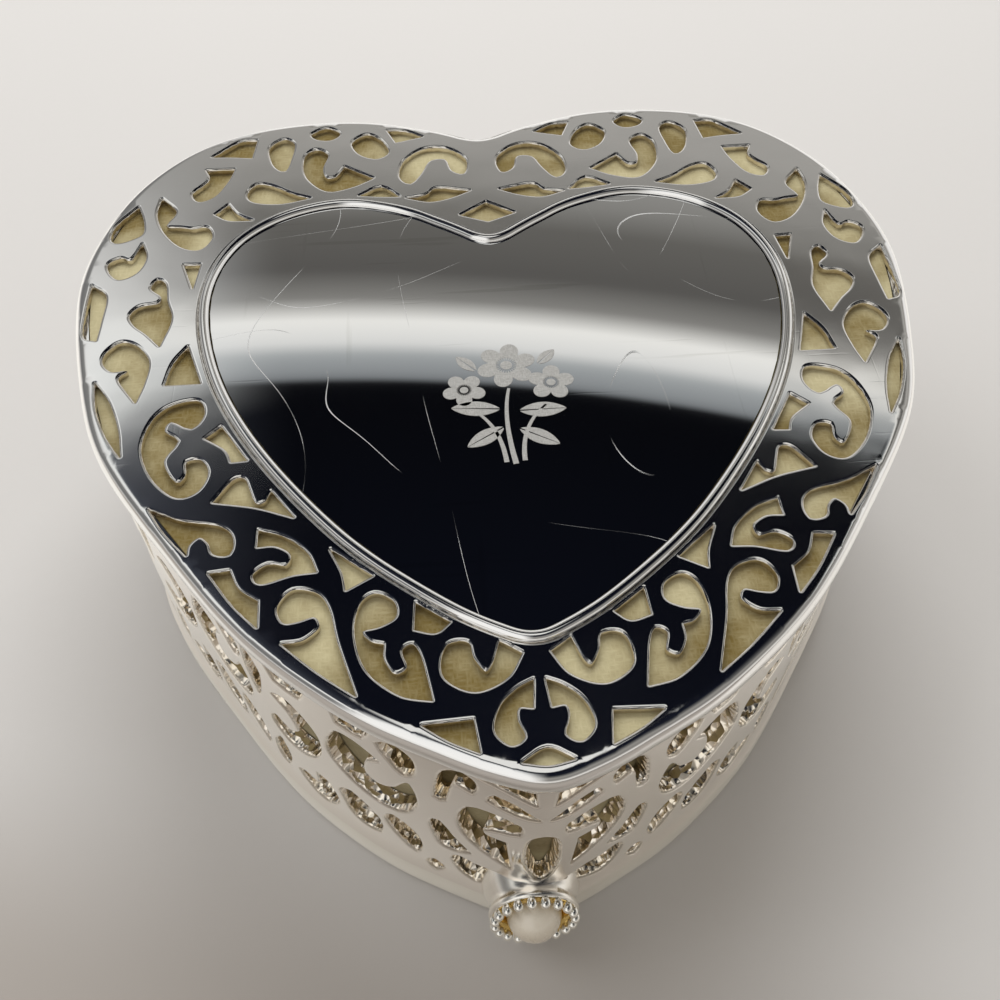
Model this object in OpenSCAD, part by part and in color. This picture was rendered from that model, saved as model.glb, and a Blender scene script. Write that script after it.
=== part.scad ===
// Heart-shaped wind-up musical jewellery box: a pierced cast lid and wall in silver plate,
// a mirror plaque, a pearl set at the tip, a lined compartment and a comb-and-cylinder movement.
// +Z is up, the tip of the heart points to -Y, and the origin is under the middle of the box.
// Millimetres.

/* [Lid] */
// Width of the lid across its lobes
lid_w = 103.6; // [100:0.4:112]
// Length of the lid from its tip to the back of its lobes
lid_l = 102.8; // [100:0.4:112]
// Height of the closed box, from the table to the top of the lid
box_h = 41.5; // [41:0.5:48]
// Height of the lid's solid rim
lid_rim_h = 2.6; // [2.2:0.1:3.4]
// Width of the lid's solid rim
lid_rim_w = 1.6; // [1.2:0.1:1.8]
// Thickness of the pierced plate inside the rim
lid_plate_t = 0.9; // [0.7:0.1:1.2]
// Gap between the closed lid and the wall
lid_gap = 0.3; // [0.2:0.05:0.4]
// Thickness of the fabric-covered board that backs the pierced plate
lid_lining_t = 0.8; // [0.6:0.1:1]
// Thickness of the padded lining inside the lid
lid_pad_t = 2.6; // [1.6:0.1:3]
// Distance from the lid's edge to the padded lining
lid_pad_inset = 5.2; // [5:0.1:6]

/* [Plaque] */
// Width of the raised bead round the plaque
bead_w = 1.3; // [1:0.1:1.6]
// Height of the bead above the lid's top
bead_rise = 0.6; // [0.3:0.1:1]
// Depth of the plaque's face below the lid's top
plaque_drop = 0.1; // [0:0.05:0.3]

/* [Body] */
// How far the pierced wall stands in from the lid's edge
wall_inset = 0.8; // [0.6:0.1:1.2]
// Thickness of the pierced wall
wall_t = 2; // [1.6:0.1:2.4]
// Height of the plain base band
band_h = 5.5; // [5:0.1:6.5]
// How far the base band stands in from the lid's edge
band_inset = 0.3; // [0:0.1:0.6]
// Thickness of the fabric-covered board inside the wall
wall_lining_t = 0.8; // [0.6:0.1:1]
// Height from the sheet metal floor's underside to the top of the lid
movement_room = 32.7; // [32.4:0.1:33]
// Thickness of the sheet metal floor
floor_t = 1.2; // [1:0.1:1.6]
// Width of the ledge that the floor rests on
ledge_w = 3.8; // [3.6:0.1:4.5]
// Thickness of the covered board that closes the underside
underside_t = 1; // [0.8:0.1:1.2]
// Height of the underside board above the table
underside_z = 1; // [0.8:0.1:1.2]
// Diameter of the well that the key turns in
key_well_d = 27; // [26:0.5:28]

/* [Pearl] */
// Diameter of the pearl
pearl_d = 6.2; // [5.5:0.1:6.6]
// Diameter of the setting's collar where it meets the wall
collar_d = 11; // [10.4:0.2:11.4]
// Diameter of the ring of beaded prongs
prong_ring_d = 9.6; // [9.2:0.1:9.8]
// Number of prongs round the pearl
prong_count = 19; // [14:1:22]
// Height of the pearl's centre above the table
pearl_z = 7.5; // [7:0.1:10]
// Sideways place of the pearl
pearl_x = -0.8; // [-1:0.1:1]
// How far the prong ring stands in front of the lid's tip
pearl_reach = 1.8; // [1.6:0.1:2.2]
// Upward tilt of the pearl's setting, in degrees
pearl_tilt = 7; // [0:1:10]

/* [Hinge] */
// Diameter of the hinge barrel
barrel_d = 3; // [2.8:0.1:3.2]
// Diameter of the hinge pin
pin_d = 1.2; // [1:0.1:1.4]
// Total length of the hinge barrel
barrel_l = 10; // [9:0.5:11]
// How far the pin lies below the top of the wall
pin_drop = 4.2; // [4.2:0.1:5]
// How far the pin lies in front of the back of the lobes
pin_inset = 2.2; // [1.9:0.1:2.3]

/* [Interior] */
// Thickness of the compartment's divider and movement cover
board_t = 1.2; // [1:0.1:1.6]
// Thickness of the padded floor of the compartment
pad_t = 2; // [1:0.5:3]
// Gap between the movement cover and the lid's pad
cover_gap = 3.8; // [3.4:0.1:3.9]

/* [Movement] */
// Length of the bedplate
bed_l = 56; // [55:0.5:57]
// Width of the bedplate
bed_w = 37; // [36.5:0.5:37.5]
// Thickness of the bedplate
bed_t = 2.5; // [2:0.1:2.6]
// Diameter of the spring housing
housing_d = 21.6; // [21:0.2:22]
// Height of the spring housing
housing_h = 5; // [4.6:0.1:5.2]
// Diameter of the tune cylinder
drum_d = 12.6; // [12:0.1:12.8]
// Length of the tune cylinder
drum_l = 20; // [18:0.5:20]
// Diameter of the tune cylinder's pins
tune_pin_d = 0.4; // [0.3:0.05:0.45]
// Height of the tune cylinder's pins
tune_pin_h = 0.5; // [0.3:0.05:0.6]
// Number of teeth of the comb
comb_teeth = 18; // [16:1:18]
// Thickness of the comb
comb_t = 0.9; // [0.7:0.1:1.1]
// Diameter of the tune cylinder's arbor
drum_arbor_d = 2; // [1.8:0.1:2.2]
// Diameter of the winding arbor
wind_arbor_d = 3; // [2.8:0.1:3.4]
// Running clearance of the movement's pivots, on the radius
pivot_clear = 0.04; // [0.02:0.01:0.06]
// Width of the key's wings
key_w = 16; // [14:0.5:18]
// Thickness of the key's wings
key_t = 1.8; // [1.4:0.1:2.2]

/* [Hidden] */
$fn = 48;

silver = [0.80, 0.79, 0.76];
polished = [0.20, 0.21, 0.24];
khaki = [0.66, 0.61, 0.45];
velvet = [0.72, 0.68, 0.55];
brass = [0.80, 0.66, 0.36];
steel = [0.62, 0.63, 0.65];
cast_zinc = [0.72, 0.72, 0.73];
pearl_white = [0.93, 0.88, 0.80];

// ---- curves ----
// Right half of the lid's outline, from the notch at the back round to the tip.
heart_knots = [[0, 58.7], [6, 61.2], [15, 64.1], [24, 64.5], [33, 62.7], [40.8, 58.2], [47.3, 49.8],
    [51, 39], [51.8, 28.5], [49.2, 14], [45.3, 2.5], [36.8, -10.4], [28.1, -21.5], [18.3, -29.9],
    [10.1, -34.6], [4.5, -37.2], [0, -38.3]];
// Right half of the outer edge of the bead round the plaque, in the same order.
plaque_knots = [[0, 36.2], [5, 39.2], [11, 43], [19, 45.1], [27, 43], [33, 37.8], [36, 30],
    [35.9, 21], [33, 10.5], [27.2, -0.3], [18.5, -11.5], [9.5, -19.4], [3.5, -23.2], [0, -24.3]];
knots_w = 2 * max([for (knot = heart_knots) knot[0]]);
knots_back = max([for (knot = heart_knots) knot[1]]);
knots_front = min([for (knot = heart_knots) knot[1]]);
scale_x = lid_w / knots_w;
scale_y = lid_l / (knots_back - knots_front);
outline_steps = 3;
opening_steps = 3;
cut = 0.1;

function scaled(knot) = [knot[0] * scale_x, knot[1] * scale_y];
function both_halves(half) = concat([for (knot = half) scaled(knot)],
    [for (i = [len(half) - 2:-1:1]) scaled([-half[i][0], half[i][1]])]);
function spline_at(a, b, c, d, t) = (2 * b + (c - a) * t + (2 * a - 5 * b + 4 * c - d) * t * t
    + (3 * b - a - 3 * c + d) * t * t * t) / 2;
// A knot with a third value is a corner; the others are passed smoothly.
function is_corner(knot) = len(knot) > 2;
function flat_point(knot) = [knot[0], knot[1]];
function loop_curve(knots, steps) = [for (i = [0:len(knots) - 1])
    let (count = len(knots), b = knots[i], c = knots[(i + 1) % count],
        a = is_corner(b) ? 2 * flat_point(b) - flat_point(c) : knots[(i + count - 1) % count],
        d = is_corner(c) ? 2 * flat_point(c) - flat_point(b) : knots[(i + 2) % count],
        spans = is_corner(b) && is_corner(c) ? 1 : steps)
    for (j = [0:spans - 1])
        spline_at(flat_point(a), flat_point(b), flat_point(c), flat_point(d), j / spans)];
function inward(line, i) = let (count = len(line),
        along = line[(i + 1) % count] - line[(i + count - 1) % count])
    [along[1], -along[0]] / norm(along);
function inset_line(line, d) = [for (i = [0:len(line) - 1]) line[i] + d * inward(line, i)];

heart_line = loop_curve(both_halves(heart_knots), outline_steps);
plaque_line = loop_curve(both_halves(plaque_knots), outline_steps);
tip_index = (len(heart_knots) - 1) * outline_steps;
lobe_back_y = knots_back * scale_y;
notch_y = heart_knots[0][1] * scale_y;
tip_y = knots_front * scale_y;

module heart(d) {
    polygon(inset_line(heart_line, d));
}
module heart_ring(d_out, d_in) {
    difference() {
        heart(d_out);
        heart(d_in);
    }
}
module plaque_shape(d) {
    polygon(inset_line(plaque_line, d));
}
module at_z(z) {
    translate([0, 0, z]) children();
}
module ring(d_out, d_in, h) {
    difference() {
        cylinder(d = d_out, h = h);
        translate([0, 0, -cut]) cylinder(d = d_in, h = h + 2 * cut);
    }
}

// ---- levels ----
lid_z = box_h - lid_rim_h;
plate_z = box_h - lid_plate_t;
wall_top = lid_z - lid_gap;
wall_in = wall_inset + wall_t;
fit = 0.1;
lining_in = wall_in + fit + wall_lining_t;
floor_z = box_h - movement_room;
floor_top = floor_z + floor_t;

// ---- pierced patterns ----
// Openings in the right half of the lid, in the same frame as the outline.
lid_openings = [
    [[39.8, 7], [38, 9.2], [35, 9.8], [34.1, 7.6], [35.3, 5.6], [37.6, 6.8], [38.2, 5.4],
        [36.6, 3.8], [37.8, 1], [36.2, -2], [35.2, -1], [35.3, 0.8], [33.8, 0.9], [32.9, -1],
        [33.8, -3.4], [36, -4], [38.8, -1.2], [40.4, 3]],
    [[32, 5.6, 1], [28.9, 0.5, 1], [30.5, 0.4, 1], [31.3, 2.2], [33.6, 4, 1]],
    [[47, 13.4, 1], [45, 10.3], [43.4, 6], [42.6, 2, 1], [44.6, 5.2], [46.3, 9.4]],
    [[32, -5, 1], [30.2, -2.2], [29, -2], [28.4, -3.4], [27.6, -5.4], [26.6, -5.3], [26, -4, 1],
        [23.5, -7.6, 1], [27.5, -6]],
    [[38.5, -5.5, 1], [35, -7.2], [31, -8.2], [29.6, -9.8], [29.8, -11.8], [31.4, -11.6],
        [32, -10.2], [33, -9.4], [34, -10.4], [34.1, -11.6, 1], [36.6, -8.6]],
    [[27, -9, 1], [24.4, -10], [22, -12.2], [21, -14.6, 1], [23.4, -14.8], [26.4, -15.6],
        [27.2, -14.4], [25.8, -13.3], [24, -13.6], [23.6, -12.2], [25.2, -11.1], [27, -11.1, 1]],
    [[31.6, -14, 1], [29.6, -13.8, 1], [28.6, -16], [26.6, -17.6, 1], [26.5, -20.6, 1],
        [29, -17.8]],
    [[24.6, -18.4], [23.2, -16.6], [20.8, -17.2], [19.6, -19.2], [18.8, -22.8], [17, -28.6, 1],
        [20.6, -25.8], [24, -22.6, 1], [22, -22.4], [20.5, -21], [21, -19.8], [22.6, -20.2],
        [24, -20.2]],
    [[19.6, -12, 1], [15.4, -15.5, 1], [18, -17, 1], [18.4, -14.8]],
    [[16.6, -18.8], [15.2, -17.6], [13.4, -18.6], [13.2, -20.4], [14.8, -21.4], [16.4, -21.8],
        [15.6, -23], [14.4, -23.4, 1], [14.4, -25], [13.4, -26.6], [12.2, -26], [12.6, -24.2],
        [11.6, -23.6], [10.9, -25], [10.4, -27.4], [10, -29.6, 1], [13, -28.8], [16, -26],
        [17.1, -22]],
    [[11.2, -19, 1], [8, -21.4, 1], [9.4, -22.5], [11.4, -22, 1]],
    [[9, -25.6], [8.2, -23.8], [6.4, -23.8], [6, -25.4], [5, -27], [4.2, -26.2], [3.4, -23.9, 1],
        [1.4, -25.3, 1], [3, -27.8], [6, -29], [8.6, -27.6]],
    [[11, -32, 1], [6.4, -31.8, 1], [6, -35, 1], [8.6, -33.7]],
    [[0.6, -28.2, 1], [0.9, -31, 1], [2.2, -30.9], [2.4, -32.2], [1.9, -33.8], [3.2, -34.5],
        [4.5, -33], [3.8, -30.6], [2.2, -29]],
    [[37, 18.6, 1], [35, 12.5, 1], [39, 12.5, 1], [38.4, 16]],
    [[46.5, 18.4], [45, 20], [43, 19.2], [41.3, 16.5], [41.4, 13], [42, 10, 1], [44.4, 13.8],
        [43.6, 15.2], [45.4, 15.2], [46.6, 16.6]],
    [[50, 30.5, 1], [48, 28.4], [47.9, 24], [48, 20.5, 1], [49.6, 21.4], [50, 26]],
    [[44.6, 24.6], [43.6, 26.2], [41.6, 26.6], [41.2, 27.8], [42.6, 29.4], [42, 31], [40.9, 30],
        [40.4, 27], [39.5, 23.5], [40.4, 19, 1], [42.2, 21.2], [43.8, 22.8]],
    [[39, 33.6, 1], [37, 33.5, 1], [37.5, 29, 1]],
    [[48.6, 34.6], [47.2, 35.6], [45.8, 35.2], [44.8, 38.2, 1], [44, 35.4], [44.8, 32.6],
        [46.8, 31.4], [48.2, 32.8]],
    [[49, 39.6], [48.6, 42.4], [46.3, 46, 1], [45.4, 43.4], [45, 40.6], [46, 39.4], [48, 38.6]],
    [[43.4, 47.6, 1], [41.2, 44.6], [42.2, 41.8], [40.4, 41.3], [38.6, 40.9], [36.8, 41],
        [36, 38.8], [37.4, 36.5], [40, 37.4], [42.4, 40.6], [43.6, 44.2]],
    [[39.4, 48.4], [38, 50.4], [37.4, 51.8], [38, 53.6, 1], [34.2, 53.5, 1], [34.9, 50.8],
        [36.4, 47.6], [38.4, 46.6]],
    [[36, 43.6, 1], [34.4, 45.6, 1], [33, 43.4], [31, 42, 1], [34, 42.2]],
    [[37.5, 56.6, 1], [34, 60], [31.5, 60.2, 1], [32, 56, 1], [34.6, 56.4]],
    [[32, 47.6], [31, 49.8], [28.8, 49.4], [26, 47.4], [23.5, 46.2, 1], [27.5, 45.3], [31, 45.9]],
    [[29.6, 58], [27.8, 60.2], [26.2, 59], [26.4, 55.8], [27.2, 52.6], [28.8, 54]],
    [[24.6, 55.4], [23.2, 57.4], [21.4, 56], [22, 53], [21.6, 50.8], [20.2, 50.8], [19, 53, 1],
        [15, 50, 1], [18, 48.2], [21.4, 47.6], [24.2, 51]],
    [[23.8, 61.2], [21.6, 62.5], [19.8, 61], [21, 59.5], [23, 59.8]],
    [[18, 58.6], [16, 60.5], [14, 59], [12.9, 56], [14.6, 54.5], [17, 55.8]],
    [[13, 61.2, 1], [10.4, 60.9], [8, 59.3, 1], [11.8, 58.2, 1]],
    [[17, 46.2, 1], [14, 48], [11.5, 45.6, 1], [14, 45.8]],
    [[11.4, 50], [10.8, 53.6], [8, 56.4], [4.6, 56.2], [2.2, 53.4], [2.6, 50.2], [4.2, 51],
        [5, 53.6], [7.2, 53.4], [8.4, 50.8], [10, 48.4]],
    [[10.6, 45.2, 1], [8, 45.8], [6.4, 47.2], [2, 46.2, 1], [4.8, 44.8], [7.6, 44.2]]];
// Openings on the lid's centre line.
lid_middle_openings = [
    [[2.3, -36.2, 1], [0, -35], [-2.3, -36.2, 1], [0, -36.6]],
    [[3.6, 41, 1], [0, 43.6, 1], [-3.6, 41, 1], [0, 39.4, 1]]];

// Openings in the right half of the wall, each [distance along the wall from the tip, height].
tip_openings = [
    [[1, 33.8, 1], [1.2, 36.6, 1], [7, 37.4, 1], [4, 36]],
    [[0.7, 30.2, 1], [2.6, 30.6], [5.6, 32.4], [5, 34, 1], [3, 33]],
    [[9, 25.4], [7.8, 28.9], [5.6, 29.5], [2.6, 28], [2.6, 25.6], [4.6, 25.2], [6.2, 24.6],
        [6.2, 23.2], [4, 22.6, 1], [3.5, 15.4, 1], [6.6, 18.4], [8.6, 21.6]],
    [[10.2, 12], [9.2, 13.6], [7.4, 13], [5.4, 12.8], [3, 11.2, 1], [5, 8.8], [7.6, 7.6],
        [9.4, 9]],
    [[12.4, 20.4], [11.4, 22], [10, 19.2], [8, 16, 1], [10, 14.8], [11.6, 15.6]],
    [[13.4, 7.6], [12.4, 9], [11.4, 7.6], [12.4, 6.6]],
    [[11, 32.6], [10.2, 35.4], [8.2, 36.8], [7, 35.2], [7.4, 33], [9, 33.8], [9.8, 31.8],
        [10.4, 28.6], [11.4, 28.4]]];
// One panel of wall openings, repeated round the box; distances are from the panel's start.
panel_pitch = 23.2;
panel_openings = [
    [[11, 26], [9.6, 22.4], [7, 20.2], [4, 19.4], [1.6, 20.6], [0.2, 24], [0.8, 28.6], [2.4, 26],
        [4.6, 24.8], [6.2, 26.4], [5.6, 29.4], [4, 31, 1], [6.4, 32.6], [9.2, 31.8]],
    [[3.6, 35.4], [1.6, 36.6], [0, 35], [0, 32], [1.2, 30.6], [2.4, 32.4]],
    [[8.8, 37.6, 1], [4.4, 37.6, 1], [5.6, 34.8], [8.4, 34.8, 1]],
    [[11, 15, 1], [9, 17], [5.8, 14], [6, 9.4], [8.6, 8.8], [10.2, 10.6]],
    [[4.6, 15], [3.4, 17.4], [1.2, 15.4], [0.4, 12], [1.2, 9.2], [3.2, 11.4]],
    [[12.8, 14.4], [12, 10], [14, 7.4], [16.8, 8], [18.2, 10.4], [16.4, 11.8], [14.8, 11.4],
        [14.4, 14.8, 1]],
    [[14.2, 30], [12.4, 27], [12.8, 22], [15.2, 18.6], [18.4, 18.2], [20.4, 20.8], [19, 23.4],
        [17, 22.4], [15.4, 24.4], [16.2, 27.6], [18.4, 29.2, 1], [16.4, 30.8]],
    [[18, 36.8, 1], [12.4, 37.2, 1], [13.6, 34.2], [17, 34, 1]],
    [[21.6, 35.6], [19.8, 32.6], [21, 27], [21.6, 25.4, 1], [22.4, 30]],
    [[20, 16.4, 1], [19.4, 12.6], [20.8, 8.4], [22.2, 9.4], [21.8, 13.4]]];
// The egg-shaped opening over the pearl.
egg_opening = [[1.7, 21.2], [1.2, 24.6], [0, 25.7], [-1.2, 24.6], [-1.7, 21.2], [-1.4, 16.4],
    [0, 13.2], [1.4, 16.4]];
pattern_low = 5.5;
pattern_high = 38.6;

wall_line = inset_line(heart_line, wall_inset);
function wall_step(i) = norm(wall_line[(i + 1) % len(wall_line)] - wall_line[i % len(wall_line)]);
// Distances along the wall from the tip to each point of its left half.
wall_marks = [for (i = tip_index, run = 0; i <= len(wall_line); run = run + wall_step(i), i = i + 1)
    run];
half_wall = wall_marks[len(wall_marks) - 1];
design_half_wall = 163.2;
along_scale = half_wall / design_half_wall;
panel_count = floor((design_half_wall - 13) / panel_pitch);
last_tip_opening = 13.4;
function mark_before(run, i) = wall_marks[i + 1] >= run ? i : mark_before(run, i + 1);
function mean(values) = values * [for (v = values) 1] / len(values);
// Place and heading of the wall at a distance from the tip along its left half.
function wall_place(run) = let (i = mark_before(run, 0),
        a = wall_line[(tip_index + i) % len(wall_line)],
        b = wall_line[(tip_index + i + 1) % len(wall_line)],
        t = (run - wall_marks[i]) / (wall_marks[i + 1] - wall_marks[i]))
    [a + t * (b - a), atan2(b[1] - a[1], b[0] - a[0])];
function pattern_z(z) = band_h + (z - pattern_low) * (wall_top - band_h) / (pattern_high - pattern_low);

// Cuts one opening through the wall's left half, square to the wall at the opening's middle.
module wall_opening(knots, start) {
    runs = [for (knot = knots) (knot[0] + start) * along_scale];
    middle = mean(runs);
    place = wall_place(middle);
    curve = loop_curve([for (i = [0:len(knots) - 1]) concat([runs[i] - middle, pattern_z(knots[i][1])],
        is_corner(knots[i]) ? [1] : [])], opening_steps - 1);
    translate([place[0][0], place[0][1], 0])
        rotate([90, 0, place[1]])
            translate([0, 0, -2 * wall_t])
                linear_extrude(4 * wall_t) polygon(curve);
}
module half_wall_openings() {
    for (knots = tip_openings) wall_opening(knots, 0);
    for (k = [0:panel_count - 1]) {
        for (knots = panel_openings) wall_opening(knots, last_tip_opening + 0.2 + k * panel_pitch);
    }
}
module egg() {
    translate([0, tip_y, 0])
        rotate([90, 0, 0])
            translate([0, 0, -3 * wall_t])
                linear_extrude(4 * wall_t)
                    polygon(loop_curve([for (knot = egg_opening) [knot[0], pattern_z(knot[1])]],
                        opening_steps));
}

// ---- lid ----
bead_clear = 0.05;

module mirrored_pair() {
    children();
    mirror([1, 0, 0]) children();
}
module lid_opening(knots) {
    polygon(loop_curve([for (knot = knots)
        concat(scaled(knot), is_corner(knot) ? [1] : [])], opening_steps));
}
module lid_frame() color(silver) {
    at_z(plate_z) linear_extrude(lid_plate_t)
        difference() {
            heart(0);
            plaque_shape(-bead_clear);
            for (knots = lid_openings) mirrored_pair() lid_opening(knots);
            for (knots = lid_middle_openings) lid_opening(knots);
        }
    at_z(lid_z) linear_extrude(lid_rim_h - lid_plate_t) heart_ring(0, lid_rim_w);
}
module plaque_rim() color(silver) {
    at_z(plate_z) linear_extrude(lid_plate_t + bead_rise)
        difference() {
            plaque_shape(0);
            plaque_shape(bead_w);
        }
}
module plaque() color(polished) {
    at_z(plate_z) linear_extrude(lid_plate_t - plaque_drop) plaque_shape(bead_w + bead_clear);
}
module lid_lining() color(khaki) {
    at_z(plate_z - lid_lining_t) linear_extrude(lid_lining_t) heart(lid_rim_w + bead_clear);
}
// The pad's straight back edge swings clear of the wall's lining as the lid opens.
lid_pad_back = 10.8;
module lid_pad() color(velvet) {
    at_z(plate_z - lid_lining_t - lid_pad_t) linear_extrude(lid_pad_t)
        intersection() {
            heart(lid_pad_inset);
            translate([-lid_w / 2, tip_y]) square([lid_w, lobe_back_y - lid_pad_back - tip_y]);
        }
}

// ---- hinge ----
hinge_y = lobe_back_y - pin_inset;
hinge_z = wall_top - pin_drop;
knuckle_gap = 0.2;
knuckle_l = (barrel_l / 2 - knuckle_gap) * 0.4;
leaf_t = 0.7;
leaf_top = box_h - 1.1;
leaf_bottom = hinge_z + barrel_d / 2 + 0.1;
hinge_clear = 0.3;

module across(x0, x1) {
    translate([x0, 0, 0]) rotate([90, 0, 90]) linear_extrude(x1 - x0) children();
}
module knuckle(x0, x1, bore_d) {
    translate([x0, hinge_y, hinge_z]) rotate([0, 90, 0]) ring(barrel_d, bore_d, x1 - x0);
}
module hinge_bore(bore_d) {
    translate([-barrel_l, hinge_y, hinge_z]) rotate([0, 90, 0]) cylinder(d = bore_d, h = 2 * barrel_l);
}
module hinge_arm(x0, x1) {
    across(x0, x1) polygon([[notch_y + 0.7, leaf_bottom], [notch_y + 0.7, leaf_bottom + 2.2],
        [hinge_y - 0.9, leaf_bottom + 1.6], [hinge_y + 1.1, hinge_z + 1.1], [hinge_y, hinge_z],
        [hinge_y - barrel_d / 2, hinge_z]]);
}
module hinge_lid_leaf() color(silver) {
    difference() {
        union() {
            at_z(leaf_bottom) linear_extrude(leaf_top - leaf_bottom)
                intersection() {
                    heart_ring(-leaf_t, 0);
                    translate([-barrel_l / 2, 0]) square([barrel_l, lobe_back_y + leaf_t]);
                }
            mirrored_pair() {
                hinge_arm(knuckle_l + knuckle_gap, barrel_l / 2);
                knuckle(knuckle_l + knuckle_gap, barrel_l / 2, pin_d);
            }
        }
        hinge_bore(pin_d + 2 * pivot_clear);
        linear_extrude(wall_top) heart(wall_inset - hinge_clear);
        at_z(lid_z) linear_extrude(lid_rim_h) heart(0);
    }
}
module hinge_body_leaf() color(silver) {
    difference() {
        union() {
            across(-knuckle_l, knuckle_l) polygon([[notch_y - wall_in, hinge_z - 4.4],
                [hinge_y - 2, hinge_z - 4.4], [hinge_y, hinge_z - barrel_d / 2], [hinge_y, hinge_z],
                [hinge_y - barrel_d / 2, hinge_z + 0.8], [notch_y - wall_in, hinge_z + 0.8]]);
            knuckle(-knuckle_l, knuckle_l, pin_d);
        }
        hinge_bore(pin_d);
        linear_extrude(wall_top) heart(wall_inset);
    }
}
module hinge_pin() color(steel) {
    translate([-barrel_l / 2 - 0.2, hinge_y, hinge_z]) rotate([0, 90, 0])
        cylinder(d = pin_d, h = barrel_l + 0.4);
}

// ---- body ----
ledge_out = wall_in + fit;
ledge_in = ledge_out + ledge_w;
underside_inset = ledge_out + 1.3;
screw_d = 1.2;
screw_head_d = 2.2;
screw_head_h = 0.8;
// Outline points beside which the screws of the floor and of the underside stand.
floor_screw_marks = [9, 30, 66, 87];
underside_screw_marks = [15, 36, 60, 81];
floor_screw_inset = underside_inset + screw_head_d / 2 + 2 * fit;
underside_screw_inset = underside_inset + 0.8;
underside_top = underside_z + underside_t;
underside_screw_l = underside_t + (floor_z - underside_top) * 0.44;

module at_marks(marks, d) {
    line = inset_line(heart_line, d);
    for (i = marks) translate([line[i][0], line[i][1], 0]) children();
}
module body_shell() color(silver) {
    difference() {
        at_z(band_h) linear_extrude(wall_top - band_h) heart_ring(wall_inset, wall_in);
        half_wall_openings();
        mirror([1, 0, 0]) half_wall_openings();
        egg();
    }
}
module base_rim() color(silver) {
    difference() {
        union() {
            linear_extrude(band_h) heart_ring(band_inset, ledge_out);
            linear_extrude(underside_top) heart_ring(ledge_out - fit, underside_inset);
            at_z(underside_top) linear_extrude(floor_z - underside_top) heart_ring(ledge_out, ledge_in);
        }
        at_marks(floor_screw_marks, floor_screw_inset) {
            cylinder(d = screw_d, h = floor_z + cut);
            cylinder(d = screw_head_d + 2 * fit, h = underside_top + screw_head_h);
        }
        at_marks(underside_screw_marks, underside_screw_inset)
            cylinder(d = screw_d, h = underside_z + underside_screw_l);
    }
}
module wall_lining() color(khaki) {
    at_z(floor_top) linear_extrude(wall_top - 0.2 - floor_top)
        heart_ring(wall_in + fit, lining_in);
}
module floor_plate() color(steel) {
    difference() {
        at_z(floor_z) linear_extrude(floor_t) heart(wall_in + fit);
        at_marks(floor_screw_marks, floor_screw_inset) at_z(floor_z - cut)
            cylinder(d = screw_d, h = floor_t + 2 * cut);
        translate([wind_x, wind_y, floor_z - cut])
            cylinder(d = wind_arbor_d + 2, h = floor_t + 2 * cut);
        bedplate_screw_places() at_z(floor_z - cut) cylinder(d = screw_d, h = floor_t + 2 * cut);
    }
}
module floor_screws() color(steel) {
    at_marks(floor_screw_marks, floor_screw_inset) at_z(underside_top) {
        cylinder(d = screw_head_d, h = screw_head_h);
        cylinder(d = screw_d, h = floor_top - underside_top);
    }
}
module underside_board() color([0.25, 0.42, 0.33]) {
    difference() {
        at_z(underside_z) linear_extrude(underside_t) heart(underside_inset + fit);
        translate([wind_x, wind_y, 0]) cylinder(d = key_well_d, h = floor_z);
        at_marks(underside_screw_marks, underside_screw_inset) cylinder(d = screw_d, h = floor_z);
    }
}
module underside_screws() color(steel) {
    at_marks(underside_screw_marks, underside_screw_inset) {
        at_z(underside_z - screw_head_h / 2) cylinder(d = screw_head_d - 0.6, h = screw_head_h / 2);
        at_z(underside_z - cut) cylinder(d = screw_d, h = underside_screw_l);
    }
}

// ---- pearl ----
pearl_y = tip_y - pearl_reach;
wall_front = tip_y + wall_inset;
collar_face = -0.5;
seat_t = 0.6;
seat_z = -1.9;
prong_d = 1;
prong_l = 1.3;

module pearl_place() {
    translate([pearl_x, pearl_y, pearl_z]) rotate([90 - pearl_tilt, 0, 0]) children();
}
module body_block() {
    at_z(-cut) linear_extrude(band_h + cut) heart(band_inset);
    at_z(band_h - cut) linear_extrude(wall_top) heart(wall_inset);
}
module pearl_collar() color(silver) {
    difference() {
        pearl_place() translate([0, 0, -8]) difference() {
            cylinder(d1 = collar_d, d2 = prong_ring_d, h = 8 + collar_face);
            cylinder(d = prong_ring_d - 2 * prong_d, h = 8);
        }
        body_block();
    }
}
module prong_ring() color(silver) {
    pearl_place() {
        translate([0, 0, collar_face]) ring(prong_ring_d - 0.4, prong_ring_d - 2 * prong_d, 0.5);
        for (i = [0:prong_count - 1]) rotate([0, 0, 360 * i / prong_count])
            translate([(prong_ring_d - prong_d) / 2, 0, collar_face])
                cylinder(d = prong_d, h = prong_l);
    }
}
module pearl_seat() color(brass) {
    difference() {
        pearl_place() translate([0, 0, seat_z - seat_t])
            cylinder(d = prong_ring_d - 2 * prong_d, h = seat_t);
        body_block();
    }
}
// Three-quarter pearl with a flat back that sits on its seat.
module pearl() color(pearl_white) {
    pearl_place() difference() {
        translate([0, 0, collar_face - 0.3]) sphere(d = pearl_d);
        translate([0, 0, seat_z - pearl_d]) cylinder(d = 2 * pearl_d, h = pearl_d);
    }
}

// ---- compartment ----
bed_back = notch_y - lining_in - 0.5;
bed_front = bed_back - bed_w;
divider_front = bed_front - 1 - board_t;
board_clear = 0.15;
cover_bottom = plate_z - lid_lining_t - lid_pad_t - cover_gap - board_t;

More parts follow.
